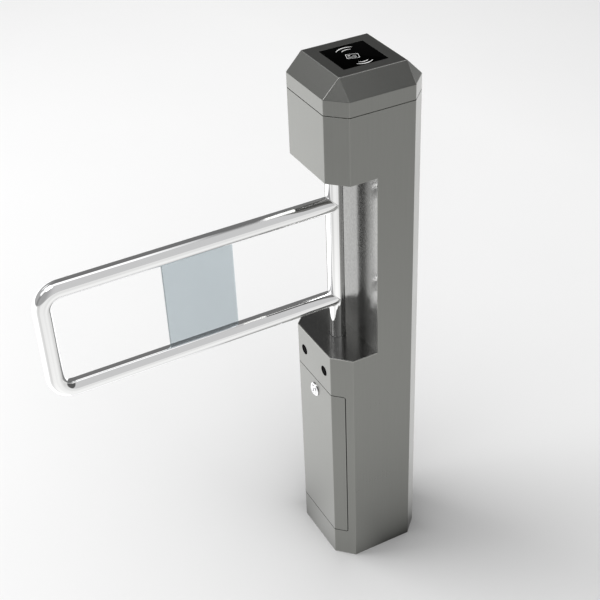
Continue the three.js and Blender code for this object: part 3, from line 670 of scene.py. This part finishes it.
def weld_bead(name, rail_z):
    """Rippled bead round a fish-mouth joint."""
    sides, section_sides = 168, 12
    bead_r, ripple, ripples = 0.00085, 0.10, 42
    flatness = 0.75  # height of the bead against its width
    rings = []
    for i in range(sides):
        a = 2 * math.pi * i / sides
        y = TUBE_R * math.sin(a)
        rise = TUBE_R * math.cos(a)
        reach = math.sqrt(max(TUBE_R * TUBE_R - y * y, 0.0))
        centre = Vector((PIVOT_X - reach, PIVOT_Y + y, rail_z + rise))
        off_pivot = Vector((-reach, y, 0)).normalized()
        off_rail = Vector((0, y, rise)).normalized()
        outward = (off_pivot + off_rail).normalized()
        tangent = off_pivot.cross(off_rail)
        tangent = tangent.normalized() if tangent.length > 1e-6 else Vector((0, 0, 1))
        across = tangent.cross(outward).normalized()
        radius = bead_r * (1 + ripple * math.sin(i * 2 * math.pi * ripples / sides))
        turns = [2 * math.pi * k / section_sides for k in range(section_sides)]
        rings.append([
            centre + (outward * math.cos(b) * flatness + across * math.sin(b)) * radius
            for b in turns])
    verts, faces = skin(rings, closed=True)
    piece(name, verts, faces, "gate", "polished_tube", smooth=60)


def gate_panel():
    """Tinted sheet between the rails, with round corners and softened rims."""
    rail_gap = 0.0102  # from a rail's centre line to the sheet
    corner, rim, rim_steps = 0.003, 0.0006, 4
    outline = corner_arcs(panel_lo.x, panel_hi.x, RAIL_LO_Z + rail_gap, RAIL_HI_Z - rail_gap,
                          corner)
    half = (panel_hi.y - panel_lo.y) / 2
    middle = (panel_hi.y + panel_lo.y) / 2
    edge = []  # (y from the middle, inset)
    for i in range(rim_steps + 1):
        a = math.pi / 2 * i / rim_steps
        edge.append((-half + rim * (1 - math.cos(a)), rim * (1 - math.sin(a))))
    edge += [(-y, inset) for y, inset in reversed(edge)]
    rings = [[Vector((cx + (corner - inset) * out_x, middle + y, cz + (corner - inset) * out_z))
              for cx, cz, out_x, out_z in outline] for y, inset in edge]
    verts, faces = skin(rings)
    pane = piece("gate_panel_tinted", verts, faces, "gate", "tinted_panel", ("gate_panel",),
                 smooth=40)
    pane.data.materials.append(SHADED_CUT_EDGE)
    for face in pane.data.polygons:  # painted shade: every rim but the one facing +X gets the dark edge, the +X rim stays bright
        if abs(face.normal.y) < 0.9 and face.normal.x < 0.3:
            face.material_index = 1


arm_tube()
pivot_tube()
weld_bead("weld_bead_upper", RAIL_HI_Z)
weld_bead("weld_bead_lower", RAIL_LO_Z)
gate_panel()


# ------------------------------------------------------------------ cap
CAP_SHEET = 0.0015
CAP_FOLD = 0.003          # outside radius of the upright folds
CAP_CHAMFER = 0.030       # leg of the chamfer that cuts each corner of the post
CAP_TOP_HALF = 0.061      # half width of the flat top
CAP_EAVE_Z = 0.985
CAP_HOLE_HALF = 0.0404    # half width of the square window opening
RING_CORNERS, CORNER_POINTS = 8, 5
RING_POINTS = RING_CORNERS * CORNER_POINTS


def octagon_ring(inset, z):
    """The post's outline with its corners cut, moved inwards by inset."""
    flat = POST_HALF - inset
    chamfer = (2 * POST_HALF - CAP_CHAMFER - inset * math.sqrt(2)) / math.sqrt(2)
    radius = max(CAP_FOLD - inset, 0.0004)
    points = []
    for k in range(RING_CORNERS):
        a0, a1 = math.radians(45 * k), math.radians(45 * (k + 1))
        d0, d1 = (flat, chamfer) if k % 2 == 0 else (chamfer, flat)
        det = math.sin(a1 - a0)
        cx = (d0 - radius) * math.sin(a1) / det - (d1 - radius) * math.sin(a0) / det
        cy = (d1 - radius) * math.cos(a0) / det - (d0 - radius) * math.cos(a1) / det
        for j in range(CORNER_POINTS):
            a = a0 + (a1 - a0) * j / 4
            points.append(Vector((cx + radius * math.cos(a), cy + radius * math.sin(a), z)))
    return points


def square_ring(half, radius, z):
    """Round-cornered square whose points pair with those of octagon_ring."""
    inset = half - radius
    points = []
    for k in range(RING_CORNERS):
        base = 90 * (k // 2)
        b = math.radians(base)
        cx = inset * math.cos(b) - inset * math.sin(b)
        cy = inset * math.sin(b) + inset * math.cos(b)
        for j in range(CORNER_POINTS):
            a = math.radians(base + 10 * j + (50 if k % 2 else 0))
            points.append(Vector((cx + radius * math.cos(a), cy + radius * math.sin(a), z)))
    return points


def blend_rings(first, last, f):
    return [a.lerp(b, f) for a, b in zip(first, last)]


def fold_rings(first, corner, last):
    """Five rings that round the corner between first and last."""
    return [blend_rings(blend_rings(first, corner, f), blend_rings(corner, last, f), f)
            for f in (0.0, 0.25, 0.5, 0.75, 1.0)]


def folded_cap():
    """Sheet cap with rounded folds and a square window opening."""
    z0, z1 = cap_lo.z, cap_hi.z
    under_z = z1 - CAP_SHEET
    eave = octagon_ring(0, CAP_EAVE_Z)
    top = square_ring(CAP_TOP_HALF, 0.0010, z1)
    # outside: lower rim, then up to the eave
    rings = [octagon_ring(0.00025, z0), octagon_ring(0.00007, z0 + 0.00007),
             octagon_ring(0, z0 + 0.00025)]
    rings += fold_rings(octagon_ring(0, CAP_EAVE_Z - 0.0010), eave,
                        blend_rings(eave, top, 0.024))
    slope_start = len(rings) - 1
    rings += fold_rings(blend_rings(eave, top, 1 - 0.026), top,
                        square_ring(CAP_TOP_HALF - 0.0011, 0.0007, z1))
    fold_end = len(rings) - 1
    rings += [square_ring(CAP_HOLE_HALF + 0.0002, 0.0004, z1),
              square_ring(CAP_HOLE_HALF, 0.0003, z1 - 0.0002),
              square_ring(CAP_HOLE_HALF, 0.0003, under_z)]
    # inside face, back down to the lower rim
    tuck = CAP_SHEET * 0.42
    rings += [square_ring(CAP_TOP_HALF - tuck, 0.0005, under_z),
              octagon_ring(CAP_SHEET, CAP_EAVE_Z - tuck), octagon_ring(CAP_SHEET, z0)]
    verts, faces = skin(rings, closed=True)
    cap = piece("top_cap_folded", verts, faces, "cap", "brushed_steel", ("top_cap",), smooth=0)
    shade_smooth(cap.data)
    cap.data.materials.append(FOLD_HIGHLIGHT)
    # painted highlight: a lighter steel on the last bands of the top fold, and on every other
    # corner's line up the slope
    for band in range(slope_start, fold_end):
        for k in range(RING_POINTS):
            corner, point = divmod(k, CORNER_POINTS)
            if band >= fold_end - 3 or (point in (1, 2) and corner % 2 == 0):
                cap.data.polygons[band * RING_POINTS + k].material_index = 1
    weighted_normals(cap, "faces")


def reader_window():
    """Gloss black pad with round corners and a softened top edge."""
    corner, rim, rim_steps = 0.0012, 0.0004, 4
    outline = corner_arcs(window_lo.x, window_hi.x, window_lo.y, window_hi.y, corner)
    levels = [(window_lo.z, 0)]  # (height, inset)
    for i in range(rim_steps + 1):
        a = math.pi / 2 * i / rim_steps
        levels.append((window_hi.z - rim * (1 - math.sin(a)), rim * (1 - math.cos(a))))
    rings = [[Vector((cx + (corner - inset) * out_x, cy + (corner - inset) * out_y, z))
              for cx, cy, out_x, out_y in outline] for z, inset in levels]
    verts, faces = skin(rings)
    piece("reader_window_gloss", verts, faces, "cap", "black_window", ("reader_window",),
          smooth=40)


folded_cap()
reader_window()

# ------------------------------------------------------------------ printed symbol
PRINT_Z0 = window_hi.z - 0.00005
PRINT_Z1 = window_hi.z + 0.00008
WINDOW_X = (window_lo.x + window_hi.x) / 2
WINDOW_Y = (window_lo.y + window_hi.y) / 2

# arcs: name, direction from the window's centre (degrees), shift in x, and for each arc
# (reach of its peak, radius, half span in degrees, width)
SYMBOL_ARCS = (
    ("far", 98, 0.0005, ((0.0305, 0.0262, 38, 0.0022), (0.0222, 0.0160, 35, 0.0017))),
    ("near", 270, 0.0015, ((0.0372, 0.0225, 40, 0.0023), (0.0305, 0.0150, 36, 0.0018))),
)

CARD_X = WINDOW_X - 0.004  # the card sits a little off the centre
CARD_Y = WINDOW_Y - 0.004
CARD_HALF_LENGTH, CARD_HALF_WIDTH, CARD_CORNER = 0.0104, 0.0080, 0.0018
CARD_LINE = 0.0008
CARD_TURN = Matrix.Rotation(math.radians(-18), 2)

# strokes on the card: name, start, end, width
CARD_STROKES = (
    ("chip", (-0.0072, 0.0022), (-0.0036, 0.0022), 0.0028),
    ("line_a", (-0.0072, -0.0034), (0.0060, -0.0034), 0.0009),
    ("line_b", (0.0004, 0.0022), (0.0062, 0.0022), 0.0009),
)


def printed(name, verts, faces):
    piece(name, verts, faces, "cap", "black_window", material=SYMBOL_WHITE, smooth=0)


def stroke(name, points, width, taper):
    """Thin raised band along a centre line, tapered at its ends if asked."""
    count = len(points)
    left, right = [], []
    for i, point in enumerate(points):
        ahead = Vector(points[min(i + 1, count - 1)]) - Vector(points[max(i - 1, 0)])
        ahead = ahead.normalized()
        normal = Vector((-ahead.y, ahead.x))
        swell = math.sin(math.pi * (0.06 + 0.88 * i / (count - 1))) ** 0.7 if taper else 1
        half = width / 2 * swell
        left.append(Vector(point) + normal * half)
        right.append(Vector(point) - normal * half)
    loop = left + right[::-1]
    size = len(loop)
    verts = [Vector((p.x, p.y, z)) for z in (PRINT_Z0, PRINT_Z1) for p in loop]
    faces = [(k, (k + 1) % size, (k + 1) % size + size, k + size) for k in range(size)]
    for i in range(count - 1):
        faces.append((i, size - 1 - i, size - 2 - i, i + 1))
        faces.append((size + i, size + i + 1, 2 * size - 2 - i, 2 * size - 1 - i))
    printed(name, verts, faces)


def symbol_arcs():
    for side, heading, shift, arcs in SYMBOL_ARCS:
        middle = math.radians(heading)
        for k, (peak, radius, half_span, width) in enumerate(arcs):
            cx = WINDOW_X + shift + (peak - radius) * math.cos(middle)
            cy = WINDOW_Y + (peak - radius) * math.sin(middle)
            angles = [middle + math.radians(half_span) * (j / 20 - 1) for j in range(41)]
            points = [(cx + radius * math.cos(a), cy + radius * math.sin(a)) for a in angles]
            stroke(f"symbol_arc_{side}_{k}", points, width, taper=True)


def on_card(point):
    turned = CARD_TURN @ Vector(point)
    return CARD_X + turned.x, CARD_Y + turned.y


def symbol_card():
    """Outline of a round-cornered card, with three strokes on it."""
    arcs = corner_arcs(-CARD_HALF_LENGTH, CARD_HALF_LENGTH, -CARD_HALF_WIDTH, CARD_HALF_WIDTH,
                       CARD_CORNER, steps=5)
    outer = [(cx + CARD_CORNER * out_x, cy + CARD_CORNER * out_y)
             for cx, cy, out_x, out_y in arcs]

    def step_in(value):
        return (abs(value) - CARD_LINE) * (1 if value > 0 else -1)

    inner = [(step_in(x), step_in(y)) for x, y in outer]
    section = ((outer, PRINT_Z0), (outer, PRINT_Z1), (inner, PRINT_Z1), (inner, PRINT_Z0))
    rings = [[Vector((*on_card(point), z)) for point in loop] for loop, z in section]
    printed("symbol_card_frame", *skin(rings, closed=True))
    for name, start, end, width in CARD_STROKES:
        (x0, y0), (x1, y1) = on_card(start), on_card(end)
        points = [(x0 + (x1 - x0) * s / 8, y0 + (y1 - y0) * s / 8) for s in range(9)]
        stroke("symbol_card_" + name, points, width, taper=False)


symbol_arcs()
symbol_card()

# ------------------------------------------------------------------ locks
# housing section in mm: radius, distance out of the post's face, corner radius
LOCK_HOUSING = (
    (6.7, -15.5, 0), (9.4, -15.5, 0.3), (9.4, 0.12, 0), (13.4, 0.12, 0.3), (13.4, 1.5, 0.6),
    (12.5, 2.4, 0.5), (10.1, 2.7, 0.6), (9.5, 4.0, 0.5), (8.8, 4.8, 0.4), (7.2, 4.8, 0.3),
    (6.7, 4.4, 0.2),
)
# plug rings in mm: radius, distance out of the post's face
LOCK_PLUG = ((4.9, -21.4), (4.9, -16.2), (6.35, -16.0), (6.35, 4.0), (6.2, 4.3),
             (5.9, 4.4), (5.2, 4.42))
KEY_SLOT_HALF = (1.4, 4.6)           # mm, half width and half height
KEY_SLOT_LEVELS = (4.3, 4.1, 1.0)    # mm, from the mouth to the floor
LOCK_SIDES = 72


def lock_housing(lock_name, body, centre, axis):
    points = in_metres([(radius, distance) for radius, distance, _ in LOCK_HOUSING])
    profile = fillet_profile(points, [corner * MM for *_, corner in LOCK_HOUSING], steps=4)
    verts, faces = lathe(profile, centre, axis, sides=LOCK_SIDES)
    node = lock_name + "_housing"
    piece(node + "_turned", verts, faces, body, "chrome_lock", (node,), smooth=40)


def lock_plug(lock_name, centre, forward):
    """Barrel with an upright key slot sunk in its face and a narrower end behind."""
    angles = [2 * math.pi * (k + 0.5) / LOCK_SIDES for k in range(LOCK_SIDES)]
    side, up = Vector((0, 1, 0)), Vector((0, 0, 1))

    def slot_reach(a):  # where the ray at this angle meets the slot's rectangle
        half_width, half_height = KEY_SLOT_HALF
        return min(half_width / max(abs(math.cos(a)), 1e-9),
                   half_height / max(abs(math.sin(a)), 1e-9))

    def ring(reach, distance):
        middle = centre + forward * distance * MM
        return [middle + (side * math.cos(a) + up * math.sin(a)) * reach(a) * MM
                for a in angles]

    rings = [ring(lambda a: radius, distance) for radius, distance in LOCK_PLUG]
    rings += [ring(slot_reach, distance) for distance in KEY_SLOT_LEVELS]
    verts, faces = skin(rings)
    node = lock_name + "_plug"
    plug = piece(node + "_turned", verts, faces, lock_name, "chrome_lock", (node,), smooth=40)
    plug.data.materials.append(KEYWAY_SHADE)
    for face in plug.data.polygons:  # painted shade: the faces inside the slot are painted near black
        offsets = [plug.data.vertices[i].co - centre for i in face.vertices]
        in_slot = all(o.length < 0.0072 and abs(o.y) < 0.00145 for o in offsets)
        if in_slot and -0.002 < max(o.dot(forward) for o in offsets) < 0.00435:
            face.material_index = 1


def lock(lock_name, housing_body, facing):
    """Lock on the post's face towards +X (facing 1) or -X (facing -1)."""
    lo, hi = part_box(lock_name + "_housing")
    centre = Vector((facing * POST_HALF, (lo.y + hi.y) / 2, (lo.z + hi.z) / 2))
    axis = Vector((facing, 0, 0))
    lock_housing(lock_name, housing_body, centre, axis)
    lock_plug(lock_name, centre, axis)


lock("door_lock", "door", -1)
lock("cap_lock", "post", 1)

# ------------------------------------------------------------------ passage sensors
# sections in mm: radius, distance out of the post's -X face
SENSOR_BARREL = ((0.0, -28), (9.5, -28), (9.5, 0.15), (8.9, 0.2), (8.5, -0.3),
                 (8.45, -3.35), (0.0, -3.35))
LENS_R, LENS_BACK, LENS_EDGE, LENS_RISE = 8.2, -3.3, -1.3, 1.0


def lens_section():
    dome = []
    for k in range(1, 9):
        a = math.radians(10 * k)
        dome.append((LENS_R * math.cos(a), LENS_EDGE + LENS_RISE * math.sin(a)))
    return [(0.0, LENS_BACK), (LENS_R, LENS_BACK), (LENS_R, LENS_EDGE), *dome,
            (0.0, LENS_EDGE + LENS_RISE)]


for side in ("left", "right"):
    sensor, lens = "ir_sensor_" + side, "ir_lens_" + side
    lo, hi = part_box(sensor)
    centre = (-POST_HALF, (lo.y + hi.y) / 2, (lo.z + hi.z) / 2)
    verts, faces = lathe(in_metres(SENSOR_BARREL), centre, (-1, 0, 0))
    piece(sensor + "_barrel", verts, faces, "post", "black_plastic", (sensor,), SENSOR_BLACK)
    verts, faces = lathe(in_metres(lens_section()), centre, (-1, 0, 0))
    piece(lens + "_dome", verts, faces, "post", "black_window", (lens,))

# ------------------------------------------------------------------ studio surroundings
# row of overhead softboxes: position along the row, brightness
SOFTBOX_ROW = [(0.0, 0.95), (0.22, 0.90), (0.38, 0.50), (0.46, 0.15), (0.545, 0.15),
               (0.565, 1.1), (0.655, 1.1), (0.68, 0.15), (0.76, 0.15), (0.83, 0.60)]
SWEEP_WHITE = (0.92, 0.92, 0.92)


def studio_below(t, hx, hy):
    """Brightness below the horizon for the level direction (hx, hy)."""
    sweep = t.mul(
        t.smooth(hy, (-0.35, 0.25), to=(0.98, 1.575)),     # brighter towards +Y
        t.smooth(hx, (0.45, 0.85), to=(1.0, 0.865)),       # darker at the +X and -X ends
        t.smooth(hx, (-0.86, -0.70), to=(0.935, 1.0)))
    viewer = t.along(hx, hy, -0.449, -0.894)
    sweep = t.add(sweep, t.smooth(viewer, (0.87, 0.98), to=(0.0, 0.085)))
    behind = t.along(hx, hy, 0.449, 0.894)
    notch = t.smooth(behind, (0.90, 0.985))  # the level straight behind the post
    return t.add(t.mul(sweep, t.sub(1.0, notch)), t.mul(notch, 0.95))


def studio_above(t, direction, x, y, z):
    """Brightness above the horizon, without the overhead row."""
    # dim towards +Y and -X, mid grey towards -Y, but darker there on the +X side
    sky = t.mul(t.smooth(y, (-0.35, 0.24), to=(0.60, 0.17)),
                t.smooth(x, (-0.6, 0.0), to=(0.62, 1.0)))
    front = t.smooth(y, (-0.15, -0.35))
    sky = t.mul(sky, t.sub(1.0, t.mul(front, t.smooth(x, (0.40, 0.47), to=(0.0, 0.84)))))
    # wide glow low on the -X, +Y side
    glow = t.mul(t.smooth(x, (0.30, -0.60), to=(0.0, 0.315)),
                 t.smooth(z, (0.52, 1.0), to=(1.0, 0.0)),
                 t.smooth(y, (-0.1, 0.3)))
    # small round patch of light on the same side
    patch = t.smooth(t.dot(direction, (-0.366, 0.729, 0.580)), (0.972, 0.996), to=(0.0, 0.58))
    # main softbox, high on the -X side: a bright disc trimmed in x and y
    disc = t.smooth(t.dot(direction, (-0.38, 0.05, 0.924)), (0.90, 0.94), to=(0.0, 5.6))
    softbox = t.mul(disc,
                    t.mul(t.smooth(x, (-0.62, -0.50)), t.smooth(x, (-0.14, -0.26))),
                    t.mul(t.smooth(y, (-0.28, -0.14)), t.smooth(y, (0.42, 0.28))))
    return t.add(sky, glow, patch, softbox)


def softbox_row(t, x, y, z):
    """Overhead softboxes in one row along X, slanted a little."""
    slanted = t.add(y, t.mul(t.sub(x, 0.365), 0.15))
    across = t.mul(t.smooth(slanted, (-0.27, -0.17)),
                   t.smooth(slanted, (0.17, 0.29), to=(1.0, 0.0)))
    high = t.smooth(z, (0.45, 0.60))
    row = t.ramp(t.map(x, (0.18, 0.50)), SOFTBOX_ROW)
    return t.mul(across, high, row, 1.35)


def studio_group():
    """Studio surroundings as the metal sees them: a colour from a direction."""
    group = bpy.data.node_groups.new("studio", "ShaderNodeTree")
    group.interface.new_socket("Direction", in_out="INPUT", socket_type="NodeSocketVector")
    group.interface.new_socket("Value", in_out="OUTPUT", socket_type="NodeSocketColor")
    t = Tree(group)
    entry = group.nodes.new("NodeGroupInput")
    result = group.nodes.new("NodeGroupOutput")
    direction = t.node("VectorMath", {0: entry.outputs[0]}, operation="NORMALIZE").outputs[0]
    x, y, z = t.xyz(direction)
    level = t.length(x, y, 1e-5)
    hx, hy = t.div(x, level), t.div(y, level)
    below = studio_below(t, hx, hy)
    above = studio_above(t, direction, x, y, z)
    is_above = t.smooth(z, (-0.10, 0.03))
    base = t.add(t.mul(below, t.sub(1.0, is_above)), t.mul(above, is_above))
    value = t.math("MAXIMUM", base, softbox_row(t, x, y, z))
    # below the horizon the -Y side is a trace warmer
    warmth = t.mul(t.sub(1.0, is_above), t.smooth(hy, (-0.30, 0.20), to=(0.012, 0.0)))
    blue = t.mul(value, t.sub(1.0, warmth))
    color = t.node("CombineColor", {0: value, 1: value, 2: blue})
    t.put(result, 0, color.outputs[0])
    return group


STUDIO = studio_group()


def studio_color(t, direction):
    return t.node("Group", {0: direction}, node_tree=STUDIO).outputs[0]


def studio_world():
    """Reflections see the studio, the camera a pale backdrop, the rest an even grey."""
    world = bpy.data.worlds.new("studio_world")
    scene.world = world
    world.use_nodes = True
    t = Tree(world.node_tree)
    ray = t.node("LightPath").outputs
    studio = studio_color(t, t.node("TexCoord").outputs["Generated"])
    plain = t.mix(ray["Is Camera Ray"], (0.63, 0.63, 0.63), SWEEP_WHITE)
    background = t.node("Background", {0: t.mix(ray["Is Glossy Ray"], plain, studio)})
    t.node("OutputWorld", {0: background.outputs[0]})


studio_world()

# ------------------------------------------------------------------ floor
FLOOR_HALF, FLOOR_CUTS, FLOOR_Z = 14.0, 8, -0.0004
SHADOW_DIR = (0.743, -0.669)     # level direction away from the key light
CONTACT_DEPTH = 0.60             # how much of the contact shade is painted on the floor


def floor_material():
    """Pale floor with a soft contact shade round the post. In reflections it glows with
    the studio's light instead, shaded in its own way."""
    material, t = new_material("floor_pale")
    ray = t.node("LightPath").outputs
    geometry = t.node("NewGeometry").outputs
    view = t.scale(geometry["Incoming"], -1)
    x, y, _ = t.xyz(geometry["Position"])
    radius = t.length(x, y)

    def over_radius(value):
        return t.div(value, t.add(radius, 0.001))

    def outside(value):  # squared distance beyond the post's side
        beyond = t.sub(t.abs(value), POST_HALF)
        return t.math("POWER", t.above_zero(beyond), 2)

    distance = t.math("SQRT", t.add(outside(x), outside(y)))
    near = t.mul(0.26, t.decay(distance, reach=0.03))
    wide = t.mul(0.38, t.decay(distance, reach=0.21))
    contact = t.add(near, wide)

    # the strip the post shades, away from the key light
    shadow_x, shadow_y = SHADOW_DIR
    along = t.along(x, y, shadow_x, shadow_y)
    across = t.abs(t.along(x, y, -shadow_y, shadow_x))
    softness = t.add(0.04, t.mul(t.above_zero(along), 0.35))
    inside = t.sub(1.0, t.div(t.sub(across, 0.06), t.mul(softness, 2.0)), clamp=True)
    strip = t.mul(inside, t.map(along, (0.0, 0.12), to=(0.0, 0.34)),
                  t.decay(t.above_zero(along), reach=0.9))

    # reflected floor: darker far out on the -Y side and where the ray runs to -X
    front = t.smooth(over_radius(y), (0.0, -0.5))
    far = t.sub(1.0, t.mul(t.smooth(radius, (0.5, 1.5), to=(0.0, 0.17)), front))
    view_x, view_y, _ = t.xyz(view)
    view_level = t.length(view_x, view_y, 1e-5)
    toward = t.div(t.along(view_x, view_y, -0.894, -0.449), view_level)
    dim = t.mul(t.smooth(toward, (0.90, 0.99), to=(0.0, 0.09)), t.smooth(radius, (0.7, 1.3)))
    far = t.mul(far, t.sub(1.0, dim))
    # reflected contact shade, weaker for rays to -X and to +Y and on the floor at -X
    close = t.mul(0.43, t.decay(distance, reach=0.036),
                  t.smooth(toward, (0.5, 0.95), to=(1.0, 0.15)),
                  t.smooth(t.div(view_y, view_level), (-0.2, 0.6), to=(1.0, 0.75)))
    left = over_radius(t.along(x, y, -0.894, -0.449))
    spread = t.mul(wide, t.smooth(left, (0.3, 0.9), to=(1.0, 0.45)))
    lit = t.sub(t.sub(1.0, t.add(close, spread)), t.mul(strip, 0.45), clamp=True)
    mirrored = t.node("Emission", {0: studio_color(t, view), 1: t.mul(far, lit)})

    # painted floor: painted light brighter towards +X, and a painted contact shade deeper
    # towards +X +Y
    grain = t.noise(scale=3.0, detail=2, rough=0.5)
    paint = t.mix(grain, (0.836, 0.836, 0.836), (0.850, 0.850, 0.850))
    lean = t.add(1.0, t.mul(0.30, over_radius(t.add(x, y))))
    drift = t.add(1.0, t.along(x, y, 0.112, 0.025))
    drift = t.math("MINIMUM", t.math("MAXIMUM", drift, 0.985), 1.17)
    shade = t.add(t.mul(contact, CONTACT_DEPTH, lean), t.mul(strip, 0.05))
    diffuse = t.node("BsdfDiffuse", {0: t.scale(paint, t.mul(drift, t.sub(1.0, shade)))})
    # far out it fades into the backdrop
    backdrop = t.node("Emission", {"Color": SWEEP_WHITE})
    fade = t.mul(t.smooth(radius, (3.2, 4.7)), ray["Is Camera Ray"])
    ground = t.mix_shader(fade, diffuse.outputs[0], backdrop.outputs[0])
    t.output(t.mix_shader(ray["Is Glossy Ray"], ground, mirrored.outputs[0]))
    return material


def build_floor():
    material = floor_material()
    mesh = bpy.data.meshes.new("floor")
    row = FLOOR_CUTS + 1
    ticks = [-FLOOR_HALF + 2 * FLOOR_HALF * i / FLOOR_CUTS for i in range(row)]
    verts = [(x, y, FLOOR_Z) for y in ticks for x in ticks]
    corners = [j * row + i for j in range(FLOOR_CUTS) for i in range(FLOOR_CUTS)]
    faces = [(k, k + 1, k + row + 1, k + row) for k in corners]
    mesh.from_pydata(verts, [], faces)
    floor = bpy.data.objects.new("floor", mesh)
    scene.collection.objects.link(floor)
    mesh.materials.append(material)
    floor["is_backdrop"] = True


build_floor()


# ------------------------------------------------------------------ lights
def area_light(name, place, target, size, power):
    """Square area light that reflections do not show."""
    light = bpy.data.lights.new(name, "AREA")
    light.shape = "RECTANGLE"
    light.size = size
    light.size_y = size
    light.energy = power
    obj = bpy.data.objects.new(name, light)
    obj.location = place
    obj.rotation_mode = "QUATERNION"
    obj.rotation_quaternion = (Vector(target) - Vector(place)).to_track_quat("-Z", "Y")
    obj.visible_glossy = False
    scene.collection.objects.link(obj)


area_light("key_left", place=(-2.30, 1.88, 2.97), target=(0, 0, 0.1), size=2.6, power=96)
area_light("fill_front", place=(-1.0, -3.6, 2.6), target=(0, 0, 0.5), size=2.8, power=36)

# ------------------------------------------------------------------ camera
CAMERA_PLACE = Vector((-0.880945257, -1.532666141, 1.804148207))
CAMERA_YAW, CAMERA_PITCH, CAMERA_ROLL = 1.10643493611, -0.61851342382, -0.04559034240  # radians
CAMERA_LENS = 72.5337277  # mm, on a 36 mm sensor


def build_camera():
    data = bpy.data.cameras.new("camera")
    camera = bpy.data.objects.new("camera", data)
    scene.collection.objects.link(camera)
    forward = Vector((math.cos(CAMERA_PITCH) * math.cos(CAMERA_YAW),
                      math.cos(CAMERA_PITCH) * math.sin(CAMERA_YAW),
                      math.sin(CAMERA_PITCH)))
    level_right = forward.cross(Vector((0, 0, 1))).normalized()
    level_up = level_right.cross(forward)
    cos_roll, sin_roll = math.cos(CAMERA_ROLL), math.sin(CAMERA_ROLL)
    right = level_right * cos_roll + level_up * sin_roll
    up = -level_right * sin_roll + level_up * cos_roll
    columns = zip(right, up, -forward, CAMERA_PLACE)
    camera.matrix_world = Matrix((*columns, (0, 0, 0, 1)))
    data.sensor_width = 36
    data.lens = CAMERA_LENS
    data.clip_start = 0.05
    data.clip_end = 60
    scene.camera = camera


build_camera()

# ------------------------------------------------------------------ render settings
scene.view_settings.view_transform = "Standard"
scene.view_settings.look = "None"
scene.cycles.use_denoising = True
scene.cycles.max_bounces = 10
scene.cycles.glossy_bounces = 6
scene.cycles.sample_clamp_indirect = 6

lo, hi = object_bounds()
